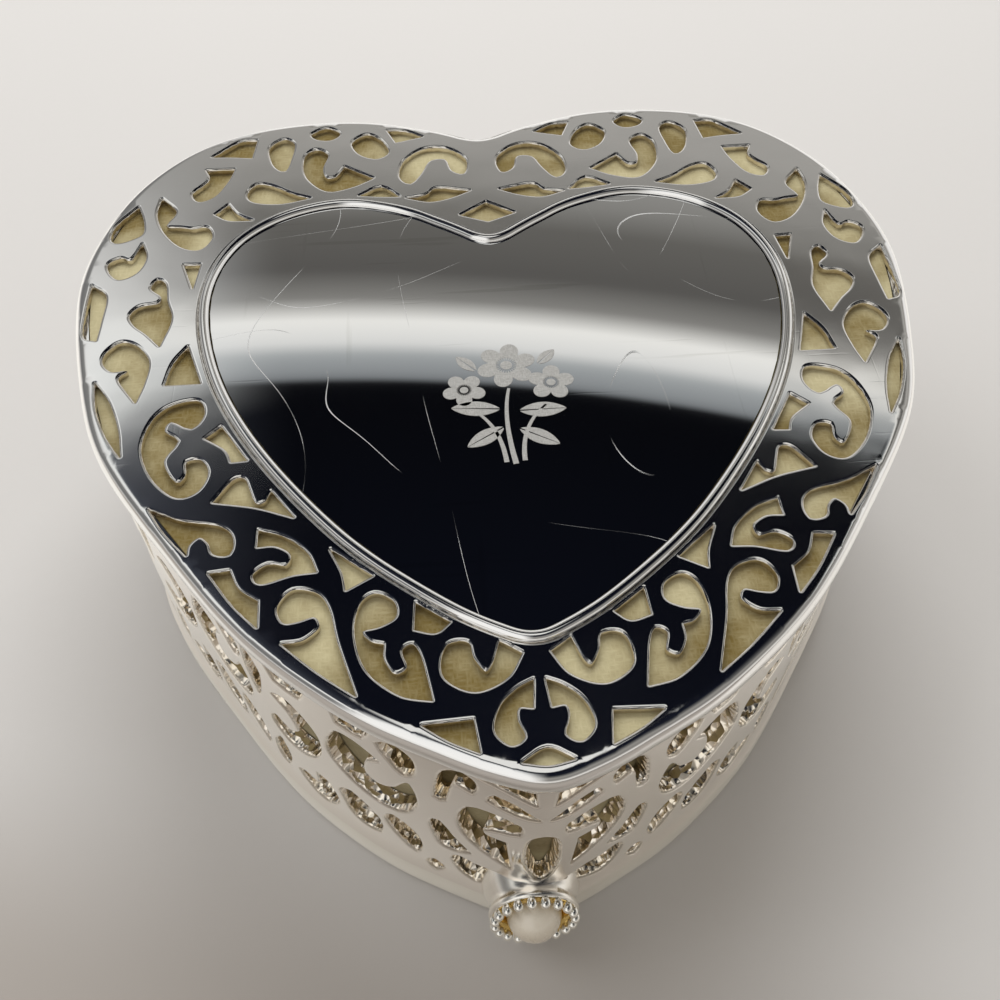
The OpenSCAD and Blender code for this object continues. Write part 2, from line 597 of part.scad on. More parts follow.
module lined_area(d, y0, y1) {
    intersection() {
        heart(d);
        translate([-lid_w / 2, y0]) square([lid_w, y1 - y0]);
    }
}
module divider() color(velvet) {
    at_z(floor_top) linear_extrude(cover_bottom - floor_top)
        lined_area(lining_in + board_clear, divider_front, divider_front + board_t);
}
module movement_cover() color(velvet) {
    difference() {
        at_z(cover_bottom) linear_extrude(board_t)
            lined_area(lining_in + board_clear, divider_front, lobe_back_y);
        translate([stop_x, stop_y, 0]) cylinder(d = stop_guide_d, h = box_h);
    }
}
module compartment_pad() color(velvet) {
    at_z(floor_top) linear_extrude(pad_t)
        lined_area(lining_in + 0.3, tip_y, divider_front - 0.3);
}

// ---- movement: places ----
wind_x = -12;
wind_back = 12.5;
wind_y = bed_back - wind_back;
bed_top = floor_top + bed_t;
bed_left = -27;
bed_screw_d = 1.2;
foot_t = 1.2;
housing_top = bed_top + housing_h;
// Great wheel: a flat disc with upright pegs that drive the pinion over it.
peg_count = 32;
pinion_teeth = 14;
pinion_pitch_r = 4;
pinion_reach = 0.7;
peg_pitch_r = pinion_pitch_r * peg_count / pinion_teeth;
peg_d = 0.6;
wheel_z = housing_top + 0.3;
wheel_t = 0.6;
peg_top = wheel_z + wheel_t + 1.5;
drum_z = wheel_z + wheel_t + 0.2 + pinion_pitch_r + pinion_reach;
drum_y = wind_y;
pinion_x = wind_x + peg_pitch_r;
pinion_w = 1.6;
drum_x0 = pinion_x + pinion_w / 2 + 1.1;
drum_x1 = drum_x0 + drum_l;
// Gear on the drum's far end and the pinion that it drives.
train_module = 0.35;
gear_teeth = 36;
second_teeth = 12;
gear_w = 1;
gear_x = drum_x1 + 0.5;
gear_mesh_angle = 40;
second_distance = train_module * (gear_teeth + second_teeth) / 2 + 0.05;
second_y = drum_y - second_distance * cos(gear_mesh_angle);
second_z = drum_z - second_distance * sin(gear_mesh_angle);
// Worm wheel and the upright worm of the governor.
worm_pitch = 0.9;
worm_teeth = 24;
worm_wheel_r = worm_teeth * worm_pitch / (2 * PI);
worm_wheel_w = 0.8;
worm_wheel_x = gear_x + gear_w + 0.9;
worm_r = 0.95;
worm_offset = 0.25;
worm_turns = 7;
governor_x = worm_wheel_x + worm_wheel_w / 2;
governor_y = second_y - worm_wheel_r - worm_r - 0.1;
fan_r = 3.8;
fan_h = 3.5;
fan_lift = 11.8;
fan_z = bed_top + fan_lift;
spindle_d = 0.8;
spindle_top = fan_z + fan_h + 1.2;
// Stop work.
stop_x = governor_x + fan_r + 1.3;
stop_pivot_y = governor_y + 5;
stop_y = stop_pivot_y - 7.6;
stop_lever_z = fan_z - 0.3;
stop_pin_d = 1.6;
stop_guide_d = 3.2;
lever_t = 0.6;
lever_h = 1.8;

module place_x(x, y, z) {
    translate([x, y, z]) rotate([90, 0, 90]) children();
}
module spur(teeth, pitch_r, reach, depth, root_half, tip_half, w) {
    points = [for (i = [0:teeth - 1]) let (a = 360 * i / teeth)
        for (corner = [[pitch_r - depth, -root_half], [pitch_r + reach, -tip_half],
            [pitch_r + reach, tip_half], [pitch_r - depth, root_half]])
            [corner[0] * cos(a) - corner[1] * sin(a), corner[0] * sin(a) + corner[1] * cos(a)]];
    linear_extrude(w) polygon(points);
}
module bedplate_screw_places() {
    for (place = [[bed_left + 3, bed_front + 3], [bed_left + bed_l - 3, bed_front + 3],
        [bed_left + 7, bed_back - 3], [bed_left + bed_l - 7, bed_back - 3]])
        translate([place[0], place[1], 0]) children();
}
function bridge_screw_places() = [[bed_left + 3, wind_y + 6.6], [wind_x + 6, wind_y - 13]];
function bearing_screw_places() = [[gear_x + 4.6, drum_y + 5.6]];
function governor_screw_places() = [[governor_x + 3.2, governor_y - 6.6]];
function comb_screw_places() = [for (f = [0.2, 0.5, 0.8]) [drum_x0 + f * drum_l, comb_back + 4]];

// ---- movement: frame ----
module bedplate() color(cast_zinc) {
    difference() {
        translate([bed_left, bed_front, floor_top]) cube([bed_l, bed_w, bed_t]);
        translate([wind_x, wind_y, 0]) cylinder(d = wind_arbor_d + 2 * pivot_clear, h = box_h);
        bedplate_screw_places() cylinder(d = bed_screw_d, h = box_h);
        for (place = concat(bridge_screw_places(), bearing_screw_places(), governor_screw_places()))
            translate([place[0], place[1], bed_top - 2]) cylinder(d = bed_screw_d, h = box_h);
    }
}
module bedplate_screws() color(steel) {
    bedplate_screw_places() {
        at_z(floor_z) cylinder(d = bed_screw_d, h = floor_t + bed_t);
        at_z(floor_z - screw_head_h) cylinder(d = screw_head_d, h = screw_head_h);
    }
}
module foot_screw(place, depth) {
    translate([place[0], place[1], bed_top + foot_t]) cylinder(d = screw_head_d, h = screw_head_h);
    translate([place[0], place[1], bed_top + foot_t - depth]) cylinder(d = bed_screw_d, h = depth);
}
module foot_bores(places) {
    for (place = places) translate([place[0], place[1], bed_top - cut])
        cylinder(d = bed_screw_d, h = foot_t + 2 * cut);
}
// Fixed drum that holds the mainspring, open below on the bedplate.
module spring_housing() color(cast_zinc) {
    difference() {
        translate([wind_x, wind_y, bed_top]) cylinder(d = housing_d, h = housing_h);
        translate([wind_x, wind_y, bed_top - cut]) cylinder(d = housing_d - 1.8, h = housing_h - 0.8);
        translate([wind_x, wind_y, bed_top]) cylinder(d = wind_arbor_d + 0.4, h = housing_h + cut);
    }
}
spring_turns = 5;
spring_in = 2.6;
spring_t = 0.35;
spring_sides = 20;
function spiral(r0, r1, a) = let (r = r0 + (r1 - r0) * a / (360 * spring_turns)) [r * cos(a), r * sin(a)];
module mainspring() color(steel) {
    spring_out = housing_d / 2 - 1.5;
    angles = [for (i = [0:spring_turns * spring_sides]) 360 * i / spring_sides];
    translate([wind_x, wind_y, bed_top + 0.3]) linear_extrude(housing_h - 1.6)
        polygon(concat([for (a = angles) spiral(spring_in, spring_out, a)],
            [for (i = [len(angles) - 1:-1:0])
                spiral(spring_in - spring_t, spring_out - spring_t, angles[i])]));
}
bridge_z = peg_top + 0.4;
bridge_t = 1.2;
bearing_half = 2.2;
// Bridge over the great wheel: it holds the top of the winding arbor and the drum's near pivot.
module housing_bridge() color(cast_zinc) {
    bar = 8;
    leg = 1.8;
    front_leg_y = wind_y - housing_d / 2 - 3.4;
    block_x = pinion_x - pinion_w / 2 - 2.8;
    difference() {
        union() {
            translate([bed_left + 1, wind_y - bar / 2, bridge_z])
                cube([block_x + 1.6 - bed_left - 1, bar, bridge_t]);
            translate([wind_x - bar / 2, front_leg_y, bridge_z])
                cube([bar, wind_y - front_leg_y, bridge_t]);
            translate([bed_left + 1, wind_y - bar / 2, bed_top]) cube([leg, bar, bridge_z - bed_top + cut]);
            translate([wind_x - bar / 2, front_leg_y, bed_top]) cube([bar, leg, bridge_z - bed_top + cut]);
            translate([bed_left + 1, wind_y + bar / 2 - 1, bed_top]) cube([3.6, 5, foot_t]);
            translate([wind_x + bar / 2 - 1, front_leg_y, bed_top]) cube([5, 3.6, foot_t]);
            translate([block_x, drum_y - bearing_half, bridge_z]) cube([1.6, 2 * bearing_half,
                drum_z + bearing_half - bridge_z]);
        }
        place_x(block_x - cut, drum_y, drum_z)
            cylinder(d = drum_arbor_d + 2 * pivot_clear, h = 1.6 + 2 * cut);
        translate([wind_x, wind_y, bridge_z - cut])
            cylinder(d = wind_arbor_d + 2 * pivot_clear, h = bridge_t + 2 * cut);
        foot_bores(bridge_screw_places());
    }
}
module bridge_screws() color(steel) {
    for (place = bridge_screw_places()) foot_screw(place, 3);
}

// ---- movement: winding ----
ratchet_r = 3.4;
ratchet_z = wheel_z + wheel_t + 0.1;
ratchet_t = 0.9;
ratchet_teeth = 12;
module great_wheel() color(brass) {
    difference() {
        union() {
            translate([wind_x, wind_y, wheel_z]) cylinder(r = peg_pitch_r + 0.6, h = wheel_t);
            for (i = [0:peg_count - 1]) translate([wind_x, wind_y, wheel_z])
                rotate([0, 0, 360 * (i + 0.5) / peg_count]) translate([peg_pitch_r, 0, 0])
                    cylinder(d = peg_d, h = peg_top - wheel_z, $fn = 24);
            translate([wind_x + 6, wind_y, wheel_z]) cylinder(d = 1, h = wheel_t + 1.1);
        }
        translate([wind_x, wind_y, wheel_z - cut])
            cylinder(d = wind_arbor_d + 2 * pivot_clear, h = wheel_t + 2 * cut);
    }
}
// The click rides on its post on the great wheel and points at the ratchet's teeth.
module click() color(steel) {
    translate([wind_x, wind_y, ratchet_z]) linear_extrude(ratchet_t - 0.1)
        difference() {
            union() {
                translate([6, 0]) circle(d = 2);
                polygon([[6.8, -0.6], [6.8, 0.6], [4.4, 3.4], [3, 2.6], [5, 0]]);
                polygon([[6.3, -0.9], [6.9, -0.6], [5.2, -4.6], [4.9, -4.4]]);
            }
            translate([6, 0]) circle(d = 1);
        }
}
module winding_arbor() color(steel) {
    translate([wind_x, wind_y, key_bottom + 1.5])
        cylinder(d = wind_arbor_d, h = bridge_z + bridge_t + 0.5 - key_bottom - 1.5);
}
module ratchet_wheel() color(steel) {
    difference() {
        translate([wind_x, wind_y, ratchet_z]) linear_extrude(ratchet_t)
            polygon([for (i = [0:ratchet_teeth - 1]) let (a = 360 * i / ratchet_teeth)
                for (tooth = [[ratchet_r - 0.7, a], [ratchet_r, a + 4]])
                    [tooth[0] * cos(tooth[1]), tooth[0] * sin(tooth[1])]]);
        translate([wind_x, wind_y, 0]) cylinder(d = wind_arbor_d, h = box_h);
    }
}
key_bottom = 1.4;
key_clear = 3.2;
key_h = floor_z - key_clear;
module winding_key() color(steel) {
    lobe_r = key_h / 2;
    difference() {
        union() {
            translate([wind_x, wind_y, key_bottom]) cylinder(d = wind_arbor_d + 1.8, h = key_h + 1);
            translate([wind_x, wind_y + key_t / 2, key_bottom + lobe_r]) rotate([90, 0, 0])
                linear_extrude(key_t) {
                    translate([-key_w / 2 + lobe_r, -lobe_r]) square([key_w - key_h, 2 * lobe_r]);
                    translate([-key_w / 2 + lobe_r, 0]) circle(r = lobe_r);
                    translate([key_w / 2 - lobe_r, 0]) circle(r = lobe_r);
                }
        }
        translate([wind_x, wind_y, key_bottom + 1.5]) cylinder(d = wind_arbor_d, h = box_h);
        for (side = [-1, 1]) translate([wind_x + side * (key_w / 2 - lobe_r), wind_y + key_t,
            key_bottom + lobe_r]) rotate([90, 0, 0]) cylinder(d = lobe_r, h = 2 * key_t);
    }
}

// ---- movement: tune cylinder ----
module tune_cylinder() color(brass) {
    difference() {
        place_x(drum_x0, drum_y, drum_z) cylinder(d = drum_d, h = drum_l);
        place_x(drum_x0 + 1, drum_y, drum_z) cylinder(d = drum_d - 1.2, h = drum_l);
        place_x(drum_x0 - cut, drum_y, drum_z) cylinder(d = drum_arbor_d, h = 1 + 2 * cut);
    }
}
pins_per_tooth = 4;
module cylinder_pins() color(steel) {
    for (i = [0:comb_teeth - 1]) {
        for (j = [0:pins_per_tooth - 1])
            place_x(drum_x0 + tooth_pitch * (i + 0.7), drum_y, drum_z)
                rotate([0, 0, 137.5 * (i * pins_per_tooth + j) + 20])
                    rotate([0, 90, 0]) translate([0, 0, drum_d / 2 - 0.02])
                        cylinder(d = tune_pin_d, h = tune_pin_h + 0.02, $fn = 16);
    }
}
module cylinder_arbor() color(steel) {
    place_x(pinion_x - pinion_w / 2 - 3, drum_y, drum_z)
        cylinder(d = drum_arbor_d, h = gear_x + gear_w + 3.6 - pinion_x + pinion_w / 2 + 3);
}
module cylinder_pinion() color(brass) {
    place_x(pinion_x - pinion_w / 2, drum_y, drum_z) difference() {
        union() {
            rotate([0, 0, -90]) spur(pinion_teeth, pinion_pitch_r, pinion_reach, 0.8, 0.42, 0.16, pinion_w);
            cylinder(d = 5, h = drum_x0 - pinion_x + pinion_w / 2);
        }
        translate([0, 0, -cut]) cylinder(d = drum_arbor_d, h = 4);
    }
}
module cylinder_gear() color(brass) {
    place_x(gear_x, drum_y, drum_z) difference() {
        union() {
            rotate([0, 0, 180 + gear_mesh_angle]) spur(gear_teeth, train_module * gear_teeth / 2,
                0.3, 0.42, 0.3, 0.11, gear_w);
            translate([0, 0, drum_x1 - gear_x - 1]) cylinder(d = drum_d - 1.2, h = 1.6);
        }
        translate([0, 0, -4]) cylinder(d = drum_arbor_d, h = 8);
    }
}
bearing_x = gear_x + gear_w + 1.9;
module cylinder_bearing() color(cast_zinc) {
    difference() {
        union() {
            translate([bearing_x, drum_y - bearing_half, bed_top])
                cube([1.6, 2 * bearing_half, drum_z + bearing_half - bed_top]);
            translate([bearing_x, drum_y + bearing_half - cut, bed_top]) cube([4, 5.6, foot_t]);
        }
        place_x(bearing_x - cut, drum_y, drum_z)
            cylinder(d = drum_arbor_d + 2 * pivot_clear, h = 1.6 + 2 * cut);
        foot_bores(bearing_screw_places());
    }
}
module bearing_screws() color(steel) {
    for (place = bearing_screw_places()) foot_screw(place, 3);
}

// ---- movement: comb ----
tooth_pitch = drum_l / comb_teeth;
tooth_gap = 0.3;
tooth_l = 8;
comb_front = drum_y - drum_d / 2 - tune_pin_h - 0.1;
comb_back = bed_front + 2;
comb_z = drum_z - comb_t / 2;
module comb() color(steel) {
    difference() {
        at_z(comb_z) linear_extrude(comb_t) difference() {
            translate([drum_x0, comb_back]) square([drum_l, comb_front - comb_back]);
            for (i = [1:comb_teeth - 1])
                translate([drum_x0 + tooth_pitch * i - tooth_gap / 2, comb_front - tooth_l])
                    square([tooth_gap, tooth_l + cut]);
        }
        for (place = comb_screw_places()) translate([place[0], place[1], comb_z - cut])
            cylinder(d = bed_screw_d, h = comb_t + 2 * cut);
    }
}
module comb_rest() color(cast_zinc) {
    difference() {
        translate([drum_x0, comb_back, bed_top])
            cube([drum_l, comb_front - tooth_l - 0.4 - comb_back, comb_z - bed_top]);
        for (place = comb_screw_places()) translate([place[0], place[1], comb_z - 3])
            cylinder(d = bed_screw_d, h = 4);
    }
}
module comb_screws() color(steel) {
    for (place = comb_screw_places()) {
        translate([place[0], place[1], comb_z + comb_t]) cylinder(d = 3, h = 1);
        translate([place[0], place[1], comb_z - 3]) cylinder(d = bed_screw_d, h = 3 + comb_t);
    }
}

// ---- movement: governor ----
second_arbor_d = 1;
second_left = gear_x - 2.2;
second_right = worm_wheel_x + worm_wheel_w + 1.6;
module second_arbor() color(steel) {
    place_x(second_left + 0.1, second_y, second_z) cylinder(d = second_arbor_d, h = second_right + 1.1 - second_left);
    place_x(gear_x - 0.2, second_y, second_z) rotate([0, 0, gear_mesh_angle + 180 / second_teeth])
        spur(second_teeth, train_module * second_teeth / 2, 0.3, 0.42, 0.3, 0.11, gear_w + 0.4);
}
module second_bearing() color(cast_zinc) {
    difference() {
        union() {
            for (x = [second_left, second_right]) {
                translate([x, second_y - 1.3, bed_top]) cube([1.2, 2.6, second_z - bed_top]);
                place_x(x, second_y, second_z) cylinder(r = 1.3, h = 1.2);
            }
            translate([second_left, second_y - 1.3, bed_top])
                cube([second_right + 1.2 - second_left, 2.6, 1]);
        }
        place_x(second_left - cut, second_y, second_z)
            cylinder(d = second_arbor_d + 2 * pivot_clear, h = second_right + 2 - second_left);
    }
}
module worm_wheel() color(brass) {
    place_x(worm_wheel_x, second_y, second_z) difference() {
        rotate([0, 0, 180]) spur(worm_teeth, worm_wheel_r, 0.22, 0.3, 0.17, 0.06, worm_wheel_w);
        translate([0, 0, -cut]) cylinder(d = second_arbor_d, h = worm_wheel_w + 2 * cut);
    }
}
bracket_t = 1.6;
bracket_y = governor_y - fan_r - 0.7 - bracket_t;
module governor_bracket() color(cast_zinc) {
    difference() {
        union() {
            translate([governor_x - 1.8, bracket_y, bed_top])
                cube([3.6, bracket_t, spindle_top - bed_top]);
            translate([governor_x - 1.4, bracket_y, spindle_top - 1])
                cube([2.8, governor_y + 1.4 - bracket_y, 1]);
            translate([governor_x - 1.8, bracket_y, bed_top])
                cube([3.6, governor_y + 1.4 - bracket_y, 1]);
            translate([governor_x - 1.8, bracket_y - 2.6, bed_top]) cube([7, 4.2, foot_t]);
        }
        translate([governor_x, governor_y, bed_top + 0.4])
            cylinder(d = spindle_d + 2 * pivot_clear, h = spindle_top);
        foot_bores(governor_screw_places());
    }
}
module governor_screws() color(steel) {
    for (place = governor_screw_places()) foot_screw(place, 3);
}
// Upright spindle with a one-start right-hand worm.
module governor_worm() color(steel) {
    worm_h = worm_turns * worm_pitch;
    translate([governor_x, governor_y, second_z - worm_h / 2])
        linear_extrude(worm_h, twist = -360 * worm_turns, slices = 10 * worm_turns)
            translate([0, worm_offset]) circle(r = worm_r, $fn = 12);
    translate([governor_x, governor_y, bed_top + 0.5])
        cylinder(d = spindle_d, h = second_z - worm_h / 2 + 0.2 - bed_top - 0.5);
    translate([governor_x, governor_y, second_z + worm_h / 2 - 0.2])
        cylinder(d = spindle_d, h = spindle_top - second_z - worm_h / 2 + 0.2);
}
module governor_fan() color(brass) {
    difference() {
        translate([governor_x, governor_y, fan_z]) {
            translate([-fan_r, -0.2, 0]) cube([2 * fan_r, 0.4, fan_h]);
            cylinder(d = 1.8, h = fan_h);
        }
        translate([governor_x, governor_y, fan_z - cut]) cylinder(d = spindle_d, h = fan_h + 2 * cut);
    }
}

// ---- movement: stop work ----
stop_touch = 0.2;
module stop_pin() color(steel) {
    translate([stop_x, stop_y, stop_lever_z + lever_h + stop_touch])
        cylinder(d = stop_pin_d, h = plate_z - lid_lining_t - lid_pad_t - 2 * stop_touch
            - stop_lever_z - lever_h);
}
module stop_guide() color(brass) {
    translate([stop_x, stop_y, cover_bottom - 1]) ring(stop_guide_d, stop_pin_d + 2 * pivot_clear,
        board_t + 1.6);
}
module stop_lever() color(steel) {
    place_x(stop_x - lever_t / 2, stop_pivot_y, stop_lever_z) difference() {
        union() {
            linear_extrude(lever_t) difference() {
                union() {
                    translate([stop_y - stop_pivot_y - 1, 0]) square([stop_pivot_y - stop_y + 1, lever_h]);
                    translate([0, lever_h / 2]) circle(r = 1.4);
                }
            }
            translate([governor_y - stop_pivot_y - 0.6, 0.2, -0.6]) cube([1.2, 1.4, 0.6 + cut]);
        }
        translate([0, lever_h / 2, -cut]) cylinder(d = 1 + 2 * pivot_clear, h = lever_t + 2 * cut);
    }
}
module lever_post() color(cast_zinc) {
    post_x = stop_x + lever_t / 2 + 0.3;
    translate([post_x, stop_pivot_y - 1.4, bed_top])
        cube([1.2, 2.8, stop_lever_z + lever_h + 0.6 - bed_top]);
    place_x(stop_x - lever_t / 2 - 0.3, stop_pivot_y, stop_lever_z + lever_h / 2)
        cylinder(d = 1, h = lever_t + 0.6 + cut);
}

// ---- assembly ----
// The origin stands under the middle of the box, measured from the pearl to the lobes.
pearl_front = pearl_y - (pearl_d / 2 + collar_face - 0.3) * cos(pearl_tilt)
    - (pearl_d / 2) * (1 - cos(pearl_tilt));
center_y = -(lobe_back_y + pearl_front) / 2;

module placed() {
    translate([0, center_y, 0]) children();
}
placed() lid_frame();
placed() plaque_rim();
placed() plaque();
placed() lid_lining();
placed() lid_pad();
placed() hinge_lid_leaf();
placed() body_shell();
placed() base_rim();
placed() wall_lining();
placed() floor_plate();
placed() floor_screws();
placed() underside_board();
placed() underside_screws();
placed() hinge_body_leaf();
placed() hinge_pin();
placed() pearl_collar();
placed() prong_ring();
placed() pearl_seat();
placed() pearl();
placed() divider();
placed() movement_cover();
placed() compartment_pad();
placed() bedplate();
placed() bedplate_screws();
placed() spring_housing();
placed() mainspring();
placed() housing_bridge();
placed() bridge_screws();
placed() great_wheel();
placed() click();
placed() winding_arbor();
placed() ratchet_wheel();
placed() winding_key();
placed() tune_cylinder();
placed() cylinder_pins();
placed() cylinder_arbor();
placed() cylinder_pinion();
placed() cylinder_gear();
placed() cylinder_bearing();
placed() bearing_screws();
placed() comb();
placed() comb_rest();
placed() comb_screws();
placed() second_arbor();
placed() second_bearing();
placed() worm_wheel();
placed() governor_bracket();
placed() governor_screws();
placed() governor_worm();
placed() governor_fan();
placed() stop_pin();
placed() stop_guide();
placed() stop_lever();
placed() lever_post();
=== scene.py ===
"""Dresses the heart-shaped musical jewel box: cast silver-plated skins, linings, pearl and movement."""

import logging
import math
from dataclasses import dataclass, field
from enum import Enum

import bmesh
import bpy
import numpy as np
from mathutils import Matrix, Vector
from mathutils.geometry import delaunay_2d_cdt

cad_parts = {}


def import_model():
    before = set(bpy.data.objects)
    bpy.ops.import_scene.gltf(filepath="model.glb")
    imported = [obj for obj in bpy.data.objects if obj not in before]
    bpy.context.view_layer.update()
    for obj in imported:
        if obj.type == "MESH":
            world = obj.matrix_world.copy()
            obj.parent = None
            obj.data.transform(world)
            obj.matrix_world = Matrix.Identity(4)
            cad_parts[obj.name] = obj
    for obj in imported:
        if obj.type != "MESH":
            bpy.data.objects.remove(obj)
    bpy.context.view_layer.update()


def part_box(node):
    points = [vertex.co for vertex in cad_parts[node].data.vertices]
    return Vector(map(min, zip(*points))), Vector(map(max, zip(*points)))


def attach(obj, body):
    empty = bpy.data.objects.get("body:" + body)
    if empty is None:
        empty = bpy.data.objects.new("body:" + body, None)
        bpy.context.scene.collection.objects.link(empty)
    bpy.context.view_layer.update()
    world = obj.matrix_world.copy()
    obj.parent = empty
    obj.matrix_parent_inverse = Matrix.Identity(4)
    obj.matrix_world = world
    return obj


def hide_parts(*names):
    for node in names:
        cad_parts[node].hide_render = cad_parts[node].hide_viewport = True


LOG = logging.getLogger("music_box")
MM = 0.001
TAU = 2 * math.pi
TINY = 1e-12

Point = tuple[float, float]
Place = tuple[float, float, float]
Colour = tuple[float, float, float]
Socket = bpy.types.NodeSocket


class Edge(Enum):
    """How a piece's smooth shading is broken at its edges."""

    SOFT = math.radians(60)
    CRISP = math.radians(32)


# ---------------------------------------------------------------- curves


def cross2(a: np.ndarray, b: np.ndarray) -> np.ndarray:
    """Z part of the cross product of rows of plane vectors."""
    return a[..., 0] * b[..., 1] - a[..., 1] * b[..., 0]


def spans(points: np.ndarray, closed: bool, step: float) -> np.ndarray:
    """Samples a Catmull-Rom curve through points, about one sample per step.

    p(t) = (2b + (c-a)t + (2a-5b+4c-d)t^2 + (3b-a-3c+d)t^3) / 2 on each span b..c.

    Args:
        points: rows of plane points.
        closed: whether the last point joins the first.
        step: spacing of the samples.

    Returns:
        The samples, without the closing one; an open curve leaves out its last point.
    """
    if closed:
        a, b, c, d = (np.roll(points, k, axis=0) for k in (1, 0, -1, -2))
    else:
        first = 2 * points[:1] - points[1:2]
        last = 2 * points[-1:] - points[-2:-1]
        padded = np.concatenate([first, points, last])
        a, b, c, d = padded[:-3], padded[1:-2], padded[2:-1], padded[3:]
    counts = np.maximum(1, np.ceil(np.linalg.norm(c - b, axis=1) / step).astype(int))
    which = np.repeat(np.arange(len(b)), counts)
    starts = np.repeat(np.cumsum(counts) - counts, counts)
    t = ((np.arange(counts.sum()) - starts) / counts[which])[:, None]
    a, b, c, d = a[which], b[which], c[which], d[which]
    return (2 * b + (c - a) * t + (2 * a - 5 * b + 4 * c - d) * t**2 + (3 * b - a - 3 * c + d) * t**3) / 2


def smooth_loop(points: np.ndarray, step: float, corner_deg: float = 46) -> np.ndarray:
    """Rounds a faceted closed loop between its corners.

    Args:
        points: the loop's points, in order.
        step: spacing of the new points.
        corner_deg: a turn above this stays a corner.

    Returns:
        The resampled loop.
    """
    before = points - np.roll(points, 1, axis=0)
    after = np.roll(points, -1, axis=0) - points
    turn = np.degrees(np.abs(np.arctan2(cross2(before, after), (before * after).sum(axis=1))))
    corners = np.flatnonzero(turn > corner_deg)
    if len(corners) == 0:
        return spans(points, True, step)
    ring = np.roll(points, -corners[0], axis=0)
    ring = np.concatenate([ring, ring[:1]])
    ends = np.append(corners - corners[0], len(points))
    return np.concatenate([spans(ring[i : j + 1], False, step) for i, j in zip(ends[:-1], ends[1:])])


def left_normals(loop: np.ndarray) -> np.ndarray:
    """Unit normals on the left of a closed loop's direction of travel, shared at each point."""
    side = np.roll(loop, -1, axis=0) - loop
    side /= np.linalg.norm(side, axis=1)[:, None] + TINY
    both = side + np.roll(side, 1, axis=0)
    both /= np.linalg.norm(both, axis=1)[:, None] + TINY
    return np.stack([-both[:, 1], both[:, 0]], axis=1)


def signed_area(loop: np.ndarray) -> float:
    """Area of a closed loop, positive when it runs anticlockwise."""
    return float(cross2(loop, np.roll(loop, -1, axis=0)).sum() / 2)


def oriented(loop: np.ndarray, anticlockwise: bool) -> np.ndarray:
    """The loop, turned round if it doesn't run the way asked."""
    return loop if (signed_area(loop) > 0) == anticlockwise else loop[::-1]


def inside(points: np.ndarray, loops: list[np.ndarray]) -> np.ndarray:
    """Even-odd test of plane points: True where a ray to +x crosses the loops an odd number of times."""
    odd = np.zeros(len(points), dtype=bool)
    for loop in loops:
        a, b = loop, np.roll(loop, -1, axis=0)
        near = np.flatnonzero(((points >= loop.min(axis=0)) & (points <= loop.max(axis=0))).all(axis=1))
        if len(near) == 0:
            continue
        x, y = points[near, 0][:, None], points[near, 1][:, None]
        spanning = (a[:, 1] > y) != (b[:, 1] > y)
        rise = b[:, 1] - a[:, 1]
        cut = a[:, 0] + (y - a[:, 1]) * (b[:, 0] - a[:, 0]) / np.where(rise == 0, TINY, rise)
        odd[near] ^= (spanning & (x < cut)).sum(axis=1) % 2 == 1
    return odd


def nearest(points: np.ndarray, targets: np.ndarray, reach: float) -> np.ndarray:
    """Distance from each plane point to the nearest target, worked out in strips along x.

    Args:
        points: rows of points.
        targets: rows of points.
        reach: the most that is worth knowing.

    Returns:
        The distances, none above the reach.
    """
    strip_size = 400
    order = np.argsort(points[:, 0])
    targets = targets[np.argsort(targets[:, 0])]
    distances = np.full(len(points), reach)
    for block in np.array_split(order, len(order) // strip_size + 1):
        if len(block) == 0:
            continue
        strip = points[block]
        first, last = np.searchsorted(targets[:, 0], [strip[0, 0] - reach, strip[-1, 0] + reach])
        if last > first:
            gap = strip[:, None, :] - targets[None, first:last]
            squares = (gap[..., 0] ** 2 + gap[..., 1] ** 2).min(axis=1)
            distances[block] = np.minimum(reach, np.sqrt(squares))
    return distances


def fanned(loop: np.ndarray, corner_deg: float = 25) -> tuple[np.ndarray, np.ndarray]:
    """A loop's points with the directions in which rings are set off from them, on the loop's left.

    A corner that turns away from its left side has five directions, spread from one side's normal to the
    other's, so that a ring runs round it as an arc.

    Args:
        loop: the closed loop.
        corner_deg: the least turn that gets a fan.

    Returns:
        The points, some repeated, and a unit direction for each.
    """
    before = loop - np.roll(loop, 1, axis=0)
    after = np.roll(before, -1, axis=0)
    turn = np.arctan2(cross2(before, after), (before * after).sum(axis=1))
    corners = np.flatnonzero(turn < -math.radians(corner_deg))
    side = before[corners] / np.linalg.norm(before[corners], axis=1)[:, None]
    places, directions = [loop], [left_normals(loop)]
    for share in (0, 0.25, 0.75, 1):
        angle = math.pi / 2 + share * turn[corners]
        c, s = np.cos(angle), np.sin(angle)
        places.append(loop[corners])
        x, y = side.T
        directions.append(np.column_stack([c * x - s * y, s * x + c * y]))
    return np.concatenate(places), np.concatenate(directions)


